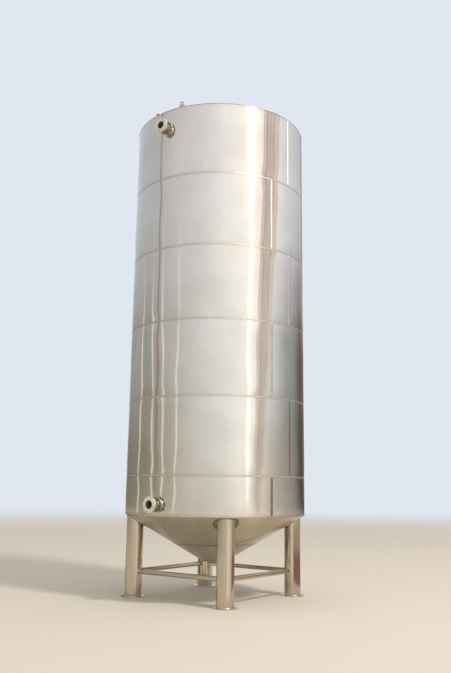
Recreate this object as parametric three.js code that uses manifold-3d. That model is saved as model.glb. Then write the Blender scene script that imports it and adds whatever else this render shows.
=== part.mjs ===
// A vertical stainless steel storage tank on four pipe legs, in millimetres, with +Z up.
// The origin is on the tank's axis at floor level. The legs stand on the X and Y axes, and the
// front leg is the one on -Y. Angles are in degrees, counted from +X towards +Y.

import * as THREE from 'three';
import { mergeVertices } from 'three/addons/utils/BufferGeometryUtils.js';
import Module from 'manifold-3d';

const wasm = await Module();
wasm.setup();

// Clearance between two pieces that touch, the width of one flat of the round shell, the distance
// under which two corners are one, and how far a cutting tool reaches past what it cuts.
const GAP = 0.3;
const FLAT_DEG = 5;
const SAME_POINT = 1e-3;
const CUT_MARGIN = 50;

// Shell: six courses of plate, the lowest one cut to half a coil's width.
const SHELL_RADIUS = 1500;
const SHELL_WALL = 5;
const SHELL_TOP = 8030;
const COURSE_HEIGHT = 1220;
const COURSE_COUNT = 6;
const ODD_SEAM_DEG = -46;
const EVEN_SEAM_DEG = -62;

// Bottom head: a cone with a rolled knuckle and a short straight flange, flat at its tip.
const HEAD_WELD_Z = 1330;
const KNUCKLE_TOP_Z = 1328;
const KNUCKLE_RADIUS = 25;
const KNUCKLE_STEPS = 4;
const CONE_SLOPE_DEG = 30;
const CONE_WELD_RADIUS = 700;
const CONE_TIP_RADIUS = 215;
const TIP_PLATE_OVERLAP = 5;
const TIP_PLATE_THICK = 8;

// Roof: a shallow cone that lies on the shell's top edge.
const ROOF_SLOPE_DEG = 15;
const ROOF_WALL = 4;

// Legs, their base plates, the reinforcing pads under the cone, and the braces.
const LEG_COUNT = 4;
const FRONT_LEG_DEG = -90;
const LEG_CIRCLE_RADIUS = 1327;
const LEG_RADIUS = 136.5;
const LEG_WALL = 6;
const LEG_FLATS = 32;
const DISC_FLATS = 40;
const BASE_PLATE_RADIUS = 195;
const BASE_PLATE_THICK = 15;
const LEG_PAD_RADIUS = 198;
const LEG_PAD_THICK = 6;
const LEG_PAD_OUTER_REACH = 1480;
const BRACE_Z = 405;
const BRACE_RADIUS = 38;
const BRACE_WALL = 3;
const BRACE_FLATS = 20;

// Flanged pipe connections of one size: two in the shell, one above the other, and the outlet.
const NOZZLE_DEG = 225;
const UPPER_NOZZLE_Z = 7720;
const LOWER_NOZZLE_Z = 1485;
const PIPE_RADIUS = 69.85;
const PIPE_WALL = 4;
const FLANGE_RADIUS = 125;
const FLANGE_THICK = 22;
const HUB_RADIUS = 84;
const HUB_LENGTH = 30;
const FLANGE_FACE_REACH = 150;
const PIPE_INSIDE_REACH = 15;
const NOZZLE_PAD_RADIUS = 114;
const NOZZLE_PAD_THICK = 6;
const PIPE_FLATS = 32;
const OUTLET_FACE_Z = 500;

// Lifting lugs on the roof's edge, opposite each other.
const LUG_DEG = -123.9;
const LUG_CIRCLE_RADIUS = 1465;
const LUG_THICK = 14;
const LUG_BASE_WIDTH = 100;
const LUG_HEIGHT = 106;
const LUG_EYE_OUTER_RADIUS = 37;
const LUG_EYE_RADIUS = 17;
const LUG_ARC_STEPS = 12;

// Roof fittings: a round manway with a flat cover, a centre vent and a small nozzle near the edge.
const MANWAY_DEG = 100;
const MANWAY_CIRCLE_RADIUS = 880;
const MANWAY_RADIUS = 254;
const MANWAY_WALL = 5;
const MANWAY_RISE = 150;
const MANWAY_DROP = 90;
const MANWAY_COVER_RADIUS = 285;
const MANWAY_COVER_THICK = 8;
const VENT = { pipeRadius: 57, boreRadius: 53, flangeRadius: 110, flangeThick: 20, rise: 160, drop: 30 };
const EDGE_NOZZLE = {
  pipeRadius: 30, boreRadius: 27, flangeRadius: 57.5, flangeThick: 16, rise: 64, drop: 15,
};
const EDGE_NOZZLE_DEG = -148;
const EDGE_NOZZLE_CIRCLE_RADIUS = 1380;

const toRadians = THREE.MathUtils.degToRad;
const CONE_SLOPE = Math.tan(toRadians(CONE_SLOPE_DEG));
const CONE_STRETCH = 1 / Math.cos(toRadians(CONE_SLOPE_DEG));
const ROOF_SLOPE = Math.tan(toRadians(ROOF_SLOPE_DEG));
const ROOF_STRETCH = 1 / Math.cos(toRadians(ROOF_SLOPE_DEG));
const TURN_FLATS = 360 / FLAT_DEG;

// The cone meets its knuckle where the knuckle has turned from upright to the cone's slope.
const KNUCKLE_TURN = toRadians(90 - CONE_SLOPE_DEG);
const CONE_EDGE_RADIUS = SHELL_RADIUS - KNUCKLE_RADIUS * (1 - Math.cos(KNUCKLE_TURN));
const CONE_EDGE_Z = KNUCKLE_TOP_Z - KNUCKLE_RADIUS * Math.sin(KNUCKLE_TURN);

// Height of the cone's outer surface, and of the roof's underside and top, at a radius.
const coneZ = (radius) => CONE_EDGE_Z - (CONE_EDGE_RADIUS - radius) * CONE_SLOPE;
const roofUnderZ = (radius) => SHELL_TOP + GAP + (SHELL_RADIUS - radius) * ROOF_SLOPE;
const roofTopZ = (radius) => roofUnderZ(radius) + ROOF_WALL * ROOF_STRETCH;

const steelOf = (color, roughness) => new THREE.MeshStandardMaterial({ color, roughness, metalness: 1 });
const shellSteel = () => steelOf(0xcfccc4, 0.32);
const headSteel = () => steelOf(0xa89d85, 0.38);
const legSteel = () => steelOf(0xb9ab8c, 0.3);
const fittingSteel = () => steelOf(0xc6bfae, 0.35);

function signedVolume(geometry) {
  const points = geometry.attributes.position.array;
  const corners = geometry.index.array;
  const at = (corner) => new THREE.Vector3().fromArray(points, corner * 3);
  let total = 0;
  for (let i = 0; i < corners.length; i += 3) {
    total += at(corners[i]).dot(at(corners[i + 1]).cross(at(corners[i + 2]))) / 6;
  }
  return total;
}

// A closed mesh with shared vertices whose faces point outwards.
function closed(geometry) {
  geometry.deleteAttribute('normal');
  geometry.deleteAttribute('uv');
  const merged = mergeVertices(geometry, SAME_POINT);
  if (signedVolume(merged) < 0) {
    const corners = merged.index.array;
    for (let i = 0; i < corners.length; i += 3) {
      [corners[i], corners[i + 1]] = [corners[i + 1], corners[i]];
    }
  }
  return merged;
}

function toSolid(geometry) {
  const merged = closed(geometry);
  const vertProperties = new Float32Array(merged.attributes.position.array);
  const triVerts = new Uint32Array(merged.index.array);
  return new wasm.Manifold(new wasm.Mesh({ numProp: 3, vertProperties, triVerts }));
}

function toGeometry(solid) {
  const mesh = solid.getMesh();
  const geometry = new THREE.BufferGeometry();
  geometry.setAttribute('position', new THREE.Float32BufferAttribute(mesh.vertProperties, 3));
  geometry.setIndex(Array.from(mesh.triVerts));
  return geometry;
}

// A profile of [radius, z] points turned about the Z axis. Its flats start on the -Y axis.
function turned(profile, flats = TURN_FLATS) {
  const points = profile.map(([radius, z]) => new THREE.Vector2(radius, z));
  return closed(new THREE.LatheGeometry(points, flats).rotateX(Math.PI / 2));
}

// A round bar or tube about the Z axis.
function tube(outerRadius, innerRadius, lowZ, highZ, flats = PIPE_FLATS) {
  if (innerRadius === 0) {
    return turned([[0, lowZ], [outerRadius, lowZ], [outerRadius, highZ], [0, highZ]], flats);
  }
  const ring = [[innerRadius, lowZ], [outerRadius, lowZ], [outerRadius, highZ], [innerRadius, highZ]];
  return turned([...ring, ring[0]], flats);
}

const alongX = (geometry) => geometry.rotateY(Math.PI / 2);

function placed(name, geometry, material) {
  const mesh = new THREE.Mesh(geometry, material);
  mesh.name = name;
  return mesh;
}

// A group turned about the tank's axis, for pieces drawn on the +X side.
function turnedGroup(degrees, ...pieces) {
  const group = new THREE.Group();
  group.rotation.z = toRadians(degrees);
  group.add(...pieces);
  return group;
}

// Half a turn of shell plate, from angle 0 to 180, with a hairline gap at both ends.
function halfPlate(lowZ, highZ) {
  const halfTurn = [];
  const ends = GAP / 2 / SHELL_RADIUS;
  for (let degrees = 0; degrees <= 180; degrees += FLAT_DEG) {
    const angle = toRadians(degrees);
    halfTurn.push(Math.min(Math.max(angle, ends), Math.PI - ends));
  }
  const arc = (radius) => halfTurn.map((angle) => {
    return new THREE.Vector2(radius * Math.cos(angle), radius * Math.sin(angle));
  });
  const outline = [...arc(SHELL_RADIUS), ...arc(SHELL_RADIUS - SHELL_WALL).reverse()];
  const settings = { depth: highZ - lowZ, bevelEnabled: false };
  return new THREE.ExtrudeGeometry(new THREE.Shape(outline), settings).translate(0, 0, lowZ);
}

// The plate with a round hole for a pipe that comes in at an angle of the plate's own frame.
function pierced(plate, degrees, z) {
  const drill = alongX(tube(PIPE_RADIUS + GAP, 0, SHELL_RADIUS - CUT_MARGIN, SHELL_RADIUS + CUT_MARGIN));
  drill.translate(0, 0, z).rotateZ(toRadians(degrees));
  return toGeometry(toSolid(plate).subtract(toSolid(drill)));
}

// Courses are numbered from the top, and their vertical seams are staggered.
function makeShell() {
  const shell = new THREE.Group();
  for (let course = 1; course <= COURSE_COUNT; course += 1) {
    const highZ = SHELL_TOP - COURSE_HEIGHT * (course - 1);
    const nextZ = course === COURSE_COUNT ? HEAD_WELD_Z : highZ - COURSE_HEIGHT;
    const seamDeg = seamOf(course);
    for (const [letter, startDeg] of [['a', seamDeg], ['b', seamDeg + 180]]) {
      let plate = halfPlate(nextZ + GAP, highZ);
      const nozzleZ = { 1: UPPER_NOZZLE_Z, [COURSE_COUNT]: LOWER_NOZZLE_Z }[course];
      const holed = letter === 'b' && nozzleZ !== undefined;
      plate = holed ? pierced(plate, NOZZLE_DEG - startDeg, nozzleZ) : closed(plate);
      const mesh = placed(`shell_course_${course}_plate_${letter}`, plate, shellSteel());
      mesh.rotation.z = toRadians(startDeg);
      shell.add(mesh);
    }
  }
  return shell;
}

function seamOf(course) {
  return course % 2 === 1 ? ODD_SEAM_DEG : EVEN_SEAM_DEG;
}

// The cone with its knuckle and flange, the small cone under it, and the flat plate at the tip.
function makeBottomHead() {
  const wall = SHELL_WALL * CONE_STRETCH;
  const knuckle = (radius) => {
    const points = [];
    for (let step = 0; step <= KNUCKLE_STEPS; step += 1) {
      const turn = KNUCKLE_TURN * step / KNUCKLE_STEPS;
      const centre = SHELL_RADIUS - KNUCKLE_RADIUS;
      points.push([centre + radius * Math.cos(turn), KNUCKLE_TOP_Z - radius * Math.sin(turn)]);
    }
    return points;
  };
  const upper = [
    [SHELL_RADIUS, HEAD_WELD_Z],
    ...knuckle(KNUCKLE_RADIUS),
    [CONE_WELD_RADIUS, coneZ(CONE_WELD_RADIUS)],
    [CONE_WELD_RADIUS, coneZ(CONE_WELD_RADIUS) + wall],
    ...knuckle(KNUCKLE_RADIUS - SHELL_WALL).reverse(),
    [SHELL_RADIUS - SHELL_WALL, HEAD_WELD_Z],
  ];
  const lowerRadius = CONE_WELD_RADIUS - GAP;
  const lower = [
    [lowerRadius, coneZ(lowerRadius)],
    [CONE_TIP_RADIUS, coneZ(CONE_TIP_RADIUS)],
    [CONE_TIP_RADIUS, coneZ(CONE_TIP_RADIUS) + wall],
    [lowerRadius, coneZ(lowerRadius) + wall],
  ];
  const plateTopZ = coneZ(CONE_TIP_RADIUS) - GAP;
  const plateRadius = CONE_TIP_RADIUS + TIP_PLATE_OVERLAP;
  const tipPlate = tube(plateRadius, PIPE_RADIUS + GAP, plateTopZ - TIP_PLATE_THICK, plateTopZ, TURN_FLATS);
  const head = new THREE.Group();
  head.add(placed('bottom_cone_upper', turned([...upper, upper[0]]), headSteel()));
  head.add(placed('bottom_cone_lower', turned([...lower, lower[0]]), headSteel()));
  head.add(placed('bottom_tip_plate', tipPlate, headSteel()));
  return head;
}

// A welding-neck flange about the Z axis: its flat face at z = 0, and its hub above it.
function hubFlange() {
  const bore = PIPE_RADIUS - PIPE_WALL;
  const profile = [
    [bore, 0],
    [FLANGE_RADIUS, 0],
    [FLANGE_RADIUS, FLANGE_THICK],
    [HUB_RADIUS, FLANGE_THICK],
    [PIPE_RADIUS, FLANGE_THICK + HUB_LENGTH],
    [bore, FLANGE_THICK + HUB_LENGTH],
  ];
  return turned([...profile, profile[0]], PIPE_FLATS);
}

// The outlet under the cone's tip: a pipe through the tip plate and a flange that faces down.
function makeOutlet() {
  const hubTopZ = OUTLET_FACE_Z + FLANGE_THICK + HUB_LENGTH;
  const pipeTopZ = coneZ(CONE_TIP_RADIUS) + PIPE_INSIDE_REACH;
  const neck = tube(PIPE_RADIUS, PIPE_RADIUS - PIPE_WALL, hubTopZ + GAP, pipeTopZ);
  const outlet = new THREE.Group();
  outlet.add(placed('outlet_neck', neck, fittingSteel()));
  outlet.add(placed('outlet_flange', hubFlange().translate(0, 0, OUTLET_FACE_Z), fittingSteel()));
  return outlet;
}

// A reinforcing pad rolled to the shell: a washer shape cut out of a ring with the shell's own flats.
function nozzlePad(flatOffsetDeg) {
  const low = SHELL_RADIUS + GAP;
  const high = low + NOZZLE_PAD_THICK;
  const halfHeight = NOZZLE_PAD_RADIUS + CUT_MARGIN;
  const ring = tube(high, low, -halfHeight, halfHeight, TURN_FLATS);
  const washer = tube(NOZZLE_PAD_RADIUS, PIPE_RADIUS + GAP, low - CUT_MARGIN, high + CUT_MARGIN);
  const rolled = toSolid(ring.rotateZ(toRadians(flatOffsetDeg)));
  return toGeometry(rolled.intersect(toSolid(alongX(washer))));
}

// One flanged connection in the shell, on the +X side at z = 0.
function makeNozzle(name, z, course) {
  const faceX = SHELL_RADIUS + FLANGE_FACE_REACH;
  const hubX = faceX - FLANGE_THICK - HUB_LENGTH;
  const innerX = SHELL_RADIUS - SHELL_WALL - PIPE_INSIDE_REACH;
  const neck = alongX(tube(PIPE_RADIUS, PIPE_RADIUS - PIPE_WALL, innerX, hubX - GAP));
  const flange = hubFlange().rotateY(-Math.PI / 2).translate(faceX, 0, 0);
  const nozzle = turnedGroup(
    NOZZLE_DEG,
    placed(`${name}_neck`, neck, fittingSteel()),
    placed(`${name}_flange`, flange, fittingSteel()),
    placed(`${name}_pad`, nozzlePad((seamOf(course) - NOZZLE_DEG) % FLAT_DEG), fittingSteel()),
  );
  nozzle.position.z = z;
  return nozzle;
}

// A pad rolled to the cone's underside: a round plate around the leg, trimmed at the knuckle.
function legPad() {
  const inner = LEG_CIRCLE_RADIUS - LEG_PAD_RADIUS - CUT_MARGIN;
  const drop = (radius, depth) => coneZ(radius) - depth * CONE_STRETCH;
  const band = [
    [inner, drop(inner, GAP)],
    [inner, drop(inner, GAP + LEG_PAD_THICK)],
    [LEG_PAD_OUTER_REACH, drop(LEG_PAD_OUTER_REACH, GAP + LEG_PAD_THICK)],
    [LEG_PAD_OUTER_REACH, drop(LEG_PAD_OUTER_REACH, GAP)],
  ];
  const disc = tube(LEG_PAD_RADIUS, 0, 0, SHELL_TOP, DISC_FLATS).translate(LEG_CIRCLE_RADIUS, 0, 0);
  return toGeometry(toSolid(turned([...band, band[0]])).intersect(toSolid(disc)));
}

// The leg's pipe, cut on top to the slope of its pad.
function legPipe() {
  const pipe = tube(LEG_RADIUS, LEG_RADIUS - LEG_WALL, BASE_PLATE_THICK + GAP, HEAD_WELD_Z, LEG_FLATS);
  const underPad = (radius) => coneZ(radius) - (LEG_PAD_THICK + 2 * GAP) * CONE_STRETCH;
  const innerRadius = LEG_CIRCLE_RADIUS - 2 * LEG_RADIUS;
  const outerRadius = LEG_CIRCLE_RADIUS + 2 * LEG_RADIUS;
  const above = [
    [innerRadius, underPad(innerRadius)],
    [outerRadius, underPad(outerRadius)],
    [outerRadius, SHELL_TOP],
    [innerRadius, SHELL_TOP],
  ];
  const headSpace = toSolid(turned([...above, above[0]]));
  return toGeometry(toSolid(pipe.translate(LEG_CIRCLE_RADIUS, 0, 0)).subtract(headSpace));
}

// A level pipe from the leg on +X to the leg on +Y, with its ends cut round to fit the legs.
function brace() {
  const half = LEG_CIRCLE_RADIUS / 2;
  const reach = Math.hypot(half, half);
  const turnDeg = -180 / LEG_COUNT;
  const pipe = alongX(tube(BRACE_RADIUS, BRACE_RADIUS - BRACE_WALL, -reach, reach, BRACE_FLATS));
  pipe.rotateZ(toRadians(turnDeg)).translate(half, half, BRACE_Z);
  const legSpace = () => tube(LEG_RADIUS + GAP, 0, 0, 2 * BRACE_Z, LEG_FLATS);
  const firstLeg = toSolid(legSpace().translate(LEG_CIRCLE_RADIUS, 0, 0));
  const secondLeg = toSolid(legSpace().translate(0, LEG_CIRCLE_RADIUS, 0));
  return toGeometry(toSolid(pipe).subtract(firstLeg).subtract(secondLeg));
}

// Four legs in order round the tank, each with its base plate, its pad and the brace to the next.
function makeSupport() {
  const names = ['front', 'right', 'back', 'left'];
  const support = new THREE.Group();
  for (let leg = 0; leg < LEG_COUNT; leg += 1) {
    const next = names[(leg + 1) % LEG_COUNT];
    const plate = tube(BASE_PLATE_RADIUS, 0, 0, BASE_PLATE_THICK, DISC_FLATS);
    support.add(turnedGroup(
      FRONT_LEG_DEG + leg * 360 / LEG_COUNT,
      placed(`leg_${names[leg]}`, legPipe(), legSteel()),
      placed(`base_plate_${names[leg]}`, plate.translate(LEG_CIRCLE_RADIUS, 0, 0), legSteel()),
      placed(`leg_pad_${names[leg]}`, legPad(), headSteel()),
      placed(`brace_${names[leg]}_${next}`, brace(), legSteel()),
    ));
  }
  return support;
}

// The place of something that stands on the roof, given by its angle and distance from the axis.
function onRoof(degrees, radius) {
  return [radius * Math.cos(toRadians(degrees)), radius * Math.sin(toRadians(degrees))];
}

// A small flanged pipe that stands through the roof, made in one piece.
function roofNozzle(size, radius) {
  const lowZ = roofUnderZ(radius) - size.drop;
  const highZ = roofTopZ(radius) + size.rise;
  const profile = [
    [size.boreRadius, lowZ],
    [size.pipeRadius, lowZ],
    [size.pipeRadius, highZ - size.flangeThick],
    [size.flangeRadius, highZ - size.flangeThick],
    [size.flangeRadius, highZ],
    [size.boreRadius, highZ],
  ];
  return turned([...profile, profile[0]], PIPE_FLATS);
}

// The roof with its three holes, and the fittings in them.
function makeRoof() {
  const manwayPlace = onRoof(MANWAY_DEG, MANWAY_CIRCLE_RADIUS);
  const edgePlace = onRoof(EDGE_NOZZLE_DEG, EDGE_NOZZLE_CIRCLE_RADIUS);
  const ventHole = VENT.pipeRadius + GAP;
  const sheet = [
    [ventHole, roofUnderZ(ventHole)],
    [SHELL_RADIUS, roofUnderZ(SHELL_RADIUS)],
    [SHELL_RADIUS, roofTopZ(SHELL_RADIUS)],
    [ventHole, roofTopZ(ventHole)],
  ];
  const drill = (radius, place) => toSolid(tube(radius + GAP, 0, 0, 2 * SHELL_TOP).translate(...place, 0));
  const sheetSolid = toSolid(turned([...sheet, sheet[0]]))
    .subtract(drill(MANWAY_RADIUS, manwayPlace))
    .subtract(drill(EDGE_NOZZLE.pipeRadius, edgePlace));
  const neckTopZ = roofTopZ(MANWAY_CIRCLE_RADIUS) + MANWAY_RISE;
  const neckLowZ = roofUnderZ(MANWAY_CIRCLE_RADIUS) - MANWAY_DROP;
  const neck = tube(MANWAY_RADIUS, MANWAY_RADIUS - MANWAY_WALL, neckLowZ, neckTopZ);
  const coverLowZ = neckTopZ + GAP;
  const cover = tube(MANWAY_COVER_RADIUS, 0, coverLowZ, coverLowZ + MANWAY_COVER_THICK);
  const edgeNozzle = roofNozzle(EDGE_NOZZLE, EDGE_NOZZLE_CIRCLE_RADIUS);
  const roof = new THREE.Group();
  roof.add(placed('roof', toGeometry(sheetSolid), shellSteel()));
  roof.add(placed('manway_neck', neck.translate(...manwayPlace, 0), fittingSteel()));
  roof.add(placed('manway_cover', cover.translate(...manwayPlace, 0), fittingSteel()));
  roof.add(placed('roof_vent', roofNozzle(VENT, 0), fittingSteel()));
  roof.add(placed('roof_edge_nozzle', edgeNozzle.translate(...edgePlace, 0), fittingSteel()));
  return roof;
}

// A lifting lug: a plate with a round head and an eye, standing across the +X axis on the roof.
function liftingLug() {
  const headZ = LUG_HEIGHT - LUG_EYE_OUTER_RADIUS;
  const halfBase = LUG_BASE_WIDTH / 2;
  const toCorner = Math.atan2(-headZ, halfBase);
  const touch = toCorner + Math.acos(LUG_EYE_OUTER_RADIUS / Math.hypot(halfBase, headZ));
  const outline = new THREE.Shape();
  outline.moveTo(-halfBase, 0);
  outline.lineTo(halfBase, 0);
  outline.absarc(0, headZ, LUG_EYE_OUTER_RADIUS, touch, Math.PI - touch, false);
  outline.closePath();
  const eye = new THREE.Path();
  eye.absarc(0, headZ, LUG_EYE_RADIUS, 0, 2 * Math.PI, true);
  outline.holes.push(eye);
  const settings = { depth: LUG_THICK, bevelEnabled: false, curveSegments: LUG_ARC_STEPS };
  const plate = new THREE.ExtrudeGeometry(outline, settings);
  plate.translate(0, 0, -LUG_THICK / 2).rotateX(Math.PI / 2).rotateZ(Math.PI / 2);
  const baseZ = roofTopZ(LUG_CIRCLE_RADIUS - LUG_THICK / 2) + GAP;
  return closed(plate.translate(LUG_CIRCLE_RADIUS, 0, baseZ));
}

const tank = new THREE.Group();
tank.name = 'vertical_storage_tank';
tank.add(makeShell());
tank.add(makeBottomHead());
tank.add(makeOutlet());
tank.add(makeNozzle('upper_nozzle', UPPER_NOZZLE_Z, 1));
tank.add(makeNozzle('lower_nozzle', LOWER_NOZZLE_Z, COURSE_COUNT));
tank.add(makeSupport());
tank.add(makeRoof());
tank.add(turnedGroup(LUG_DEG, placed('lifting_lug_front', liftingLug(), fittingSteel())));
tank.add(turnedGroup(LUG_DEG + 180, placed('lifting_lug_back', liftingLug(), fittingSteel())));

export default tank;
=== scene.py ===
"""An upright stainless steel storage tank with a cone bottom, on four pipe legs, in metres."""

import math

import bmesh
import bpy
import numpy as np
from mathutils import Matrix, Vector


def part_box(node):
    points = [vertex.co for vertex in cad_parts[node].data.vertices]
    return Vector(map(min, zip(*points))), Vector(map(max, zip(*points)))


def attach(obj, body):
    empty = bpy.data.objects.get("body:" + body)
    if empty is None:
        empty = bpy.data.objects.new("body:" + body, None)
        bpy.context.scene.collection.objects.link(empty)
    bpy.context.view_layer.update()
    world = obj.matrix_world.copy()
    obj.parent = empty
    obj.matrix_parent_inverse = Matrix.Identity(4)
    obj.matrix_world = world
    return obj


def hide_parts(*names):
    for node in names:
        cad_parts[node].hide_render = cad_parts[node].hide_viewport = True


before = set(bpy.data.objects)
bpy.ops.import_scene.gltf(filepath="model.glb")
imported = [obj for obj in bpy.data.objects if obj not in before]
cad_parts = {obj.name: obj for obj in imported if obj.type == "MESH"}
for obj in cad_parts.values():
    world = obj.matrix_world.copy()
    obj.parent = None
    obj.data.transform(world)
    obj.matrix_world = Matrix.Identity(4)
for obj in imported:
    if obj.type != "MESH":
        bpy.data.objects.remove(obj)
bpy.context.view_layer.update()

# Camera. A 40 mm lens stands 13 m from the tank at eye height, tilted up and a little rolled, and
# points slightly to the right of the tank's axis.
CAMERA_SIDE = math.radians(-97.3)
CAMERA_DISTANCE = 13.094
CAMERA_HEIGHT = 1.728
CAMERA_TURN = math.radians(0.615)
CAMERA_TILT = math.radians(11.408)
CAMERA_ROLL = math.radians(0.702)
FOCAL_PIXELS = 757.24
PHOTO_HEIGHT_PIXELS = 673
SENSOR_MM = 36


def polar(radius, turn, *height):
    """Points at a distance from the third axis and a turn round it, plane ones or at a height."""
    return np.stack(np.broadcast_arrays(radius * np.cos(turn), radius * np.sin(turn), *height), -1)


heading = CAMERA_SIDE + math.pi - CAMERA_TURN
forward = Vector(polar(math.cos(CAMERA_TILT), heading, math.sin(CAMERA_TILT)))
level_right = Vector((math.sin(heading), -math.cos(heading), 0))
level_up = level_right.cross(forward)
right = level_right * math.cos(CAMERA_ROLL) + level_up * math.sin(CAMERA_ROLL)
up = right.cross(forward)
camera = bpy.data.objects.new("camera", bpy.data.cameras.new("camera"))
camera.data.sensor_width = SENSOR_MM
camera.data.lens = FOCAL_PIXELS * SENSOR_MM / PHOTO_HEIGHT_PIXELS
camera.data.clip_end = 2000
x, y, z = polar(CAMERA_DISTANCE, CAMERA_SIDE, CAMERA_HEIGHT)
camera.matrix_world = Matrix((
    (right.x, up.x, -forward.x, x),
    (right.y, up.y, -forward.y, y),
    (right.z, up.z, -forward.z, z),
    (0, 0, 0, 1),
))
scene = bpy.context.scene
scene.collection.objects.link(camera)
scene.camera = camera
scene.view_settings.view_transform = "Standard"

# Studio. The tank stands on a plain pale floor, under a soft key light from the front right and a
# dome that is brightest round that light. Tall strip cards, which only polished steel shows, stand
# round it. Directions are turned from the camera's side, to the right as the camera sees it.
FLOOR_REACH = 70
FLOOR_FADE = (9, 60)
FLOOR_HEX = "#D2CDC6"
BACKDROP_HEX = "#E1E7F1"
KEY_TURN = 48
KEY_HEIGHT_DEG = 52
KEY_DISTANCE = 36
KEY_SIZE = 5
KEY_POWER = 7000
KEY_HEX = "#FFF6E8"
CARD_DISTANCE = 48
CARD_STEP = 0.4
NEAR_CARD_DISTANCE = 2.4
NEAR_CARD_STEP = 0.02
CARD_ROWS = 24
CARD_COLUMNS = 5
CARD_TOP_FADE = 0.35
DOME_STRENGTH = 1.9
SOFT_LIGHT_HEX = "#DDD7CC"
SOFT_LIGHT = 1.05
LOW_DOME_END = (0.02, 0.15)
HIGH_DOME_START = (0.17, 0.36)
CREASE = math.radians(32)
MERGES_PER_METRE = 1e6


def linear(hex_colour):
    """An sRGB hex colour as linear red, green, blue and an alpha of one."""
    srgb = np.array([int(hex_colour[i:i + 2], 16) for i in (1, 3, 5)]) / 255
    light = np.where(srgb <= 0.04045, srgb / 12.92, ((srgb + 0.055) / 1.055) ** 2.4)
    return (*light.tolist(), 1.0)


def add(tree, kind, inputs=(), **settings):
    """Adds a node with its settings. An input is a number, a colour, the socket it is linked to,
    or the node whose first output that is."""
    made = tree.nodes.new(kind)
    for name, value in settings.items():
        setattr(made, name, value)
    for socket, value in dict(inputs).items():
        if isinstance(value, bpy.types.Node):
            value = value.outputs[0]
        if isinstance(value, bpy.types.NodeSocket):
            tree.links.new(value, made.inputs[socket])
        else:
            made.inputs[socket].default_value = value
    return made


def ramp(tree, factor, stops):
    """A colour ramp through the stops, each a place from 0 to 1 and a linear colour."""
    made = add(tree, "ShaderNodeValToRGB", {"Fac": factor})
    elements = made.color_ramp.elements
    for place, colour in stops[1:-1]:
        elements.new(place).color = colour
    for element, (place, colour) in zip((elements[0], elements[-1]), (stops[0], stops[-1])):
        element.position = place
        element.color = colour
    return made


def new_tree(material_name):
    """A material and its empty node tree."""
    material = bpy.data.materials.new(material_name)
    material.use_nodes = True
    material.node_tree.nodes.clear()
    return material, material.node_tree


def mapped(tree, value, low, high, start=0.0, end=1.0, curve="SMOOTHSTEP"):
    """A number that goes from start to end while a value climbs from low to high."""
    return add(tree, "ShaderNodeMapRange", {
        "Value": value, "From Min": low, "From Max": high, "To Min": start, "To Max": end,
    }, interpolation_type=curve)


def blend(tree, value, low, high, under, over):
    """One colour that gives way to another while a value climbs from low to high."""
    share = mapped(tree, value, low, high)
    return add(tree, "ShaderNodeMix", {0: share, 6: under, 7: over}, data_type="RGBA").outputs[2]


def round_the_dome(*stops):
    """Ramp stops from pairs of a turn from the camera's side, in degrees, and a hex colour."""
    return [((turn + 180) / 360, linear(colour)) for turn, colour in stops]


world = bpy.data.worlds.new("studio_dome")
scene.world = world
world.use_nodes = True
dome = world.node_tree
dome.nodes.clear()
direction = add(dome, "ShaderNodeTexCoord").outputs["Generated"]
turned_direction = add(dome, "ShaderNodeVectorRotate", {
    "Vector": direction, "Angle": -CAMERA_SIDE,
}, rotation_type="Z_AXIS")
parts = add(dome, "ShaderNodeSeparateXYZ", {"Vector": turned_direction}).outputs
turn = add(dome, "ShaderNodeMath", {0: parts["Y"], 1: parts["X"]}, operation="ARCTAN2")
turn_share = mapped(dome, turn, -math.pi, math.pi, curve="LINEAR")
high_dome = ramp(dome, turn_share, round_the_dome(
    (-180, "#C6CDD9"), (-154, "#9CA1AB"), (-130, "#94979D"), (-90, "#959596"), (-55, "#A6A5A6"),
    (-25, "#B2B1B3"), (5, "#C9C7C6"), (30, "#D3CEC8"), (50, "#D6D0C7"), (78, "#CDC7C3"),
    (105, "#B5B5B8"), (140, "#9C9DA4"), (162, "#A0A4AE"), (180, "#C6CDD9"),
))
middle_dome = ramp(dome, turn_share, round_the_dome(
    (-180, "#B4B6BA"), (-154, "#767675"), (-126, "#7F7F7E"), (-105, "#797976"), (-72, "#8C8D8C"),
    (-38, "#A2A2A0"), (0, "#B9B9B6"), (28, "#CBC9C6"), (48, "#D6D2CC"), (70, "#B3B6B9"),
    (100, "#808182"), (120, "#6F7070"), (138, "#48484A"), (150, "#50463E"), (164, "#5E5852"),
    (180, "#B4B6BA"),
))
low_dome = ramp(dome, turn_share, round_the_dome(
    (-180, "#8C8B86"), (-154, "#5D5A52"), (-130, "#696256"), (-90, "#6F6A5D"), (-60, "#888276"),
    (-30, "#A5A19B"), (5, "#B3B1AD"), (30, "#CCC9C2"), (50, "#C8C2B8"), (72, "#999288"),
    (97, "#7F7A72"), (118, "#726E67"), (137, "#43423E"), (150, "#33302C"), (164, "#423F3B"),
    (180, "#8C8B86"),
))
lower_half = blend(dome, parts["Z"], *LOW_DOME_END, low_dome, middle_dome)
dome_colour = blend(dome, parts["Z"], *HIGH_DOME_START, lower_half, high_dome)
lit = add(dome, "ShaderNodeBackground", {"Color": dome_colour, "Strength": DOME_STRENGTH})
soft = add(dome, "ShaderNodeBackground", {"Color": linear(SOFT_LIGHT_HEX), "Strength": SOFT_LIGHT})
seen = add(dome, "ShaderNodeBackground", {"Color": linear(BACKDROP_HEX)})
light_path = add(dome, "ShaderNodeLightPath").outputs
shown = add(dome, "ShaderNodeMixShader", {0: light_path["Is Diffuse Ray"], 1: lit, 2: soft})
shown = add(dome, "ShaderNodeMixShader", {0: light_path["Is Camera Ray"], 1: shown, 2: seen})
add(dome, "ShaderNodeOutputWorld", {"Surface": shown})


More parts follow.
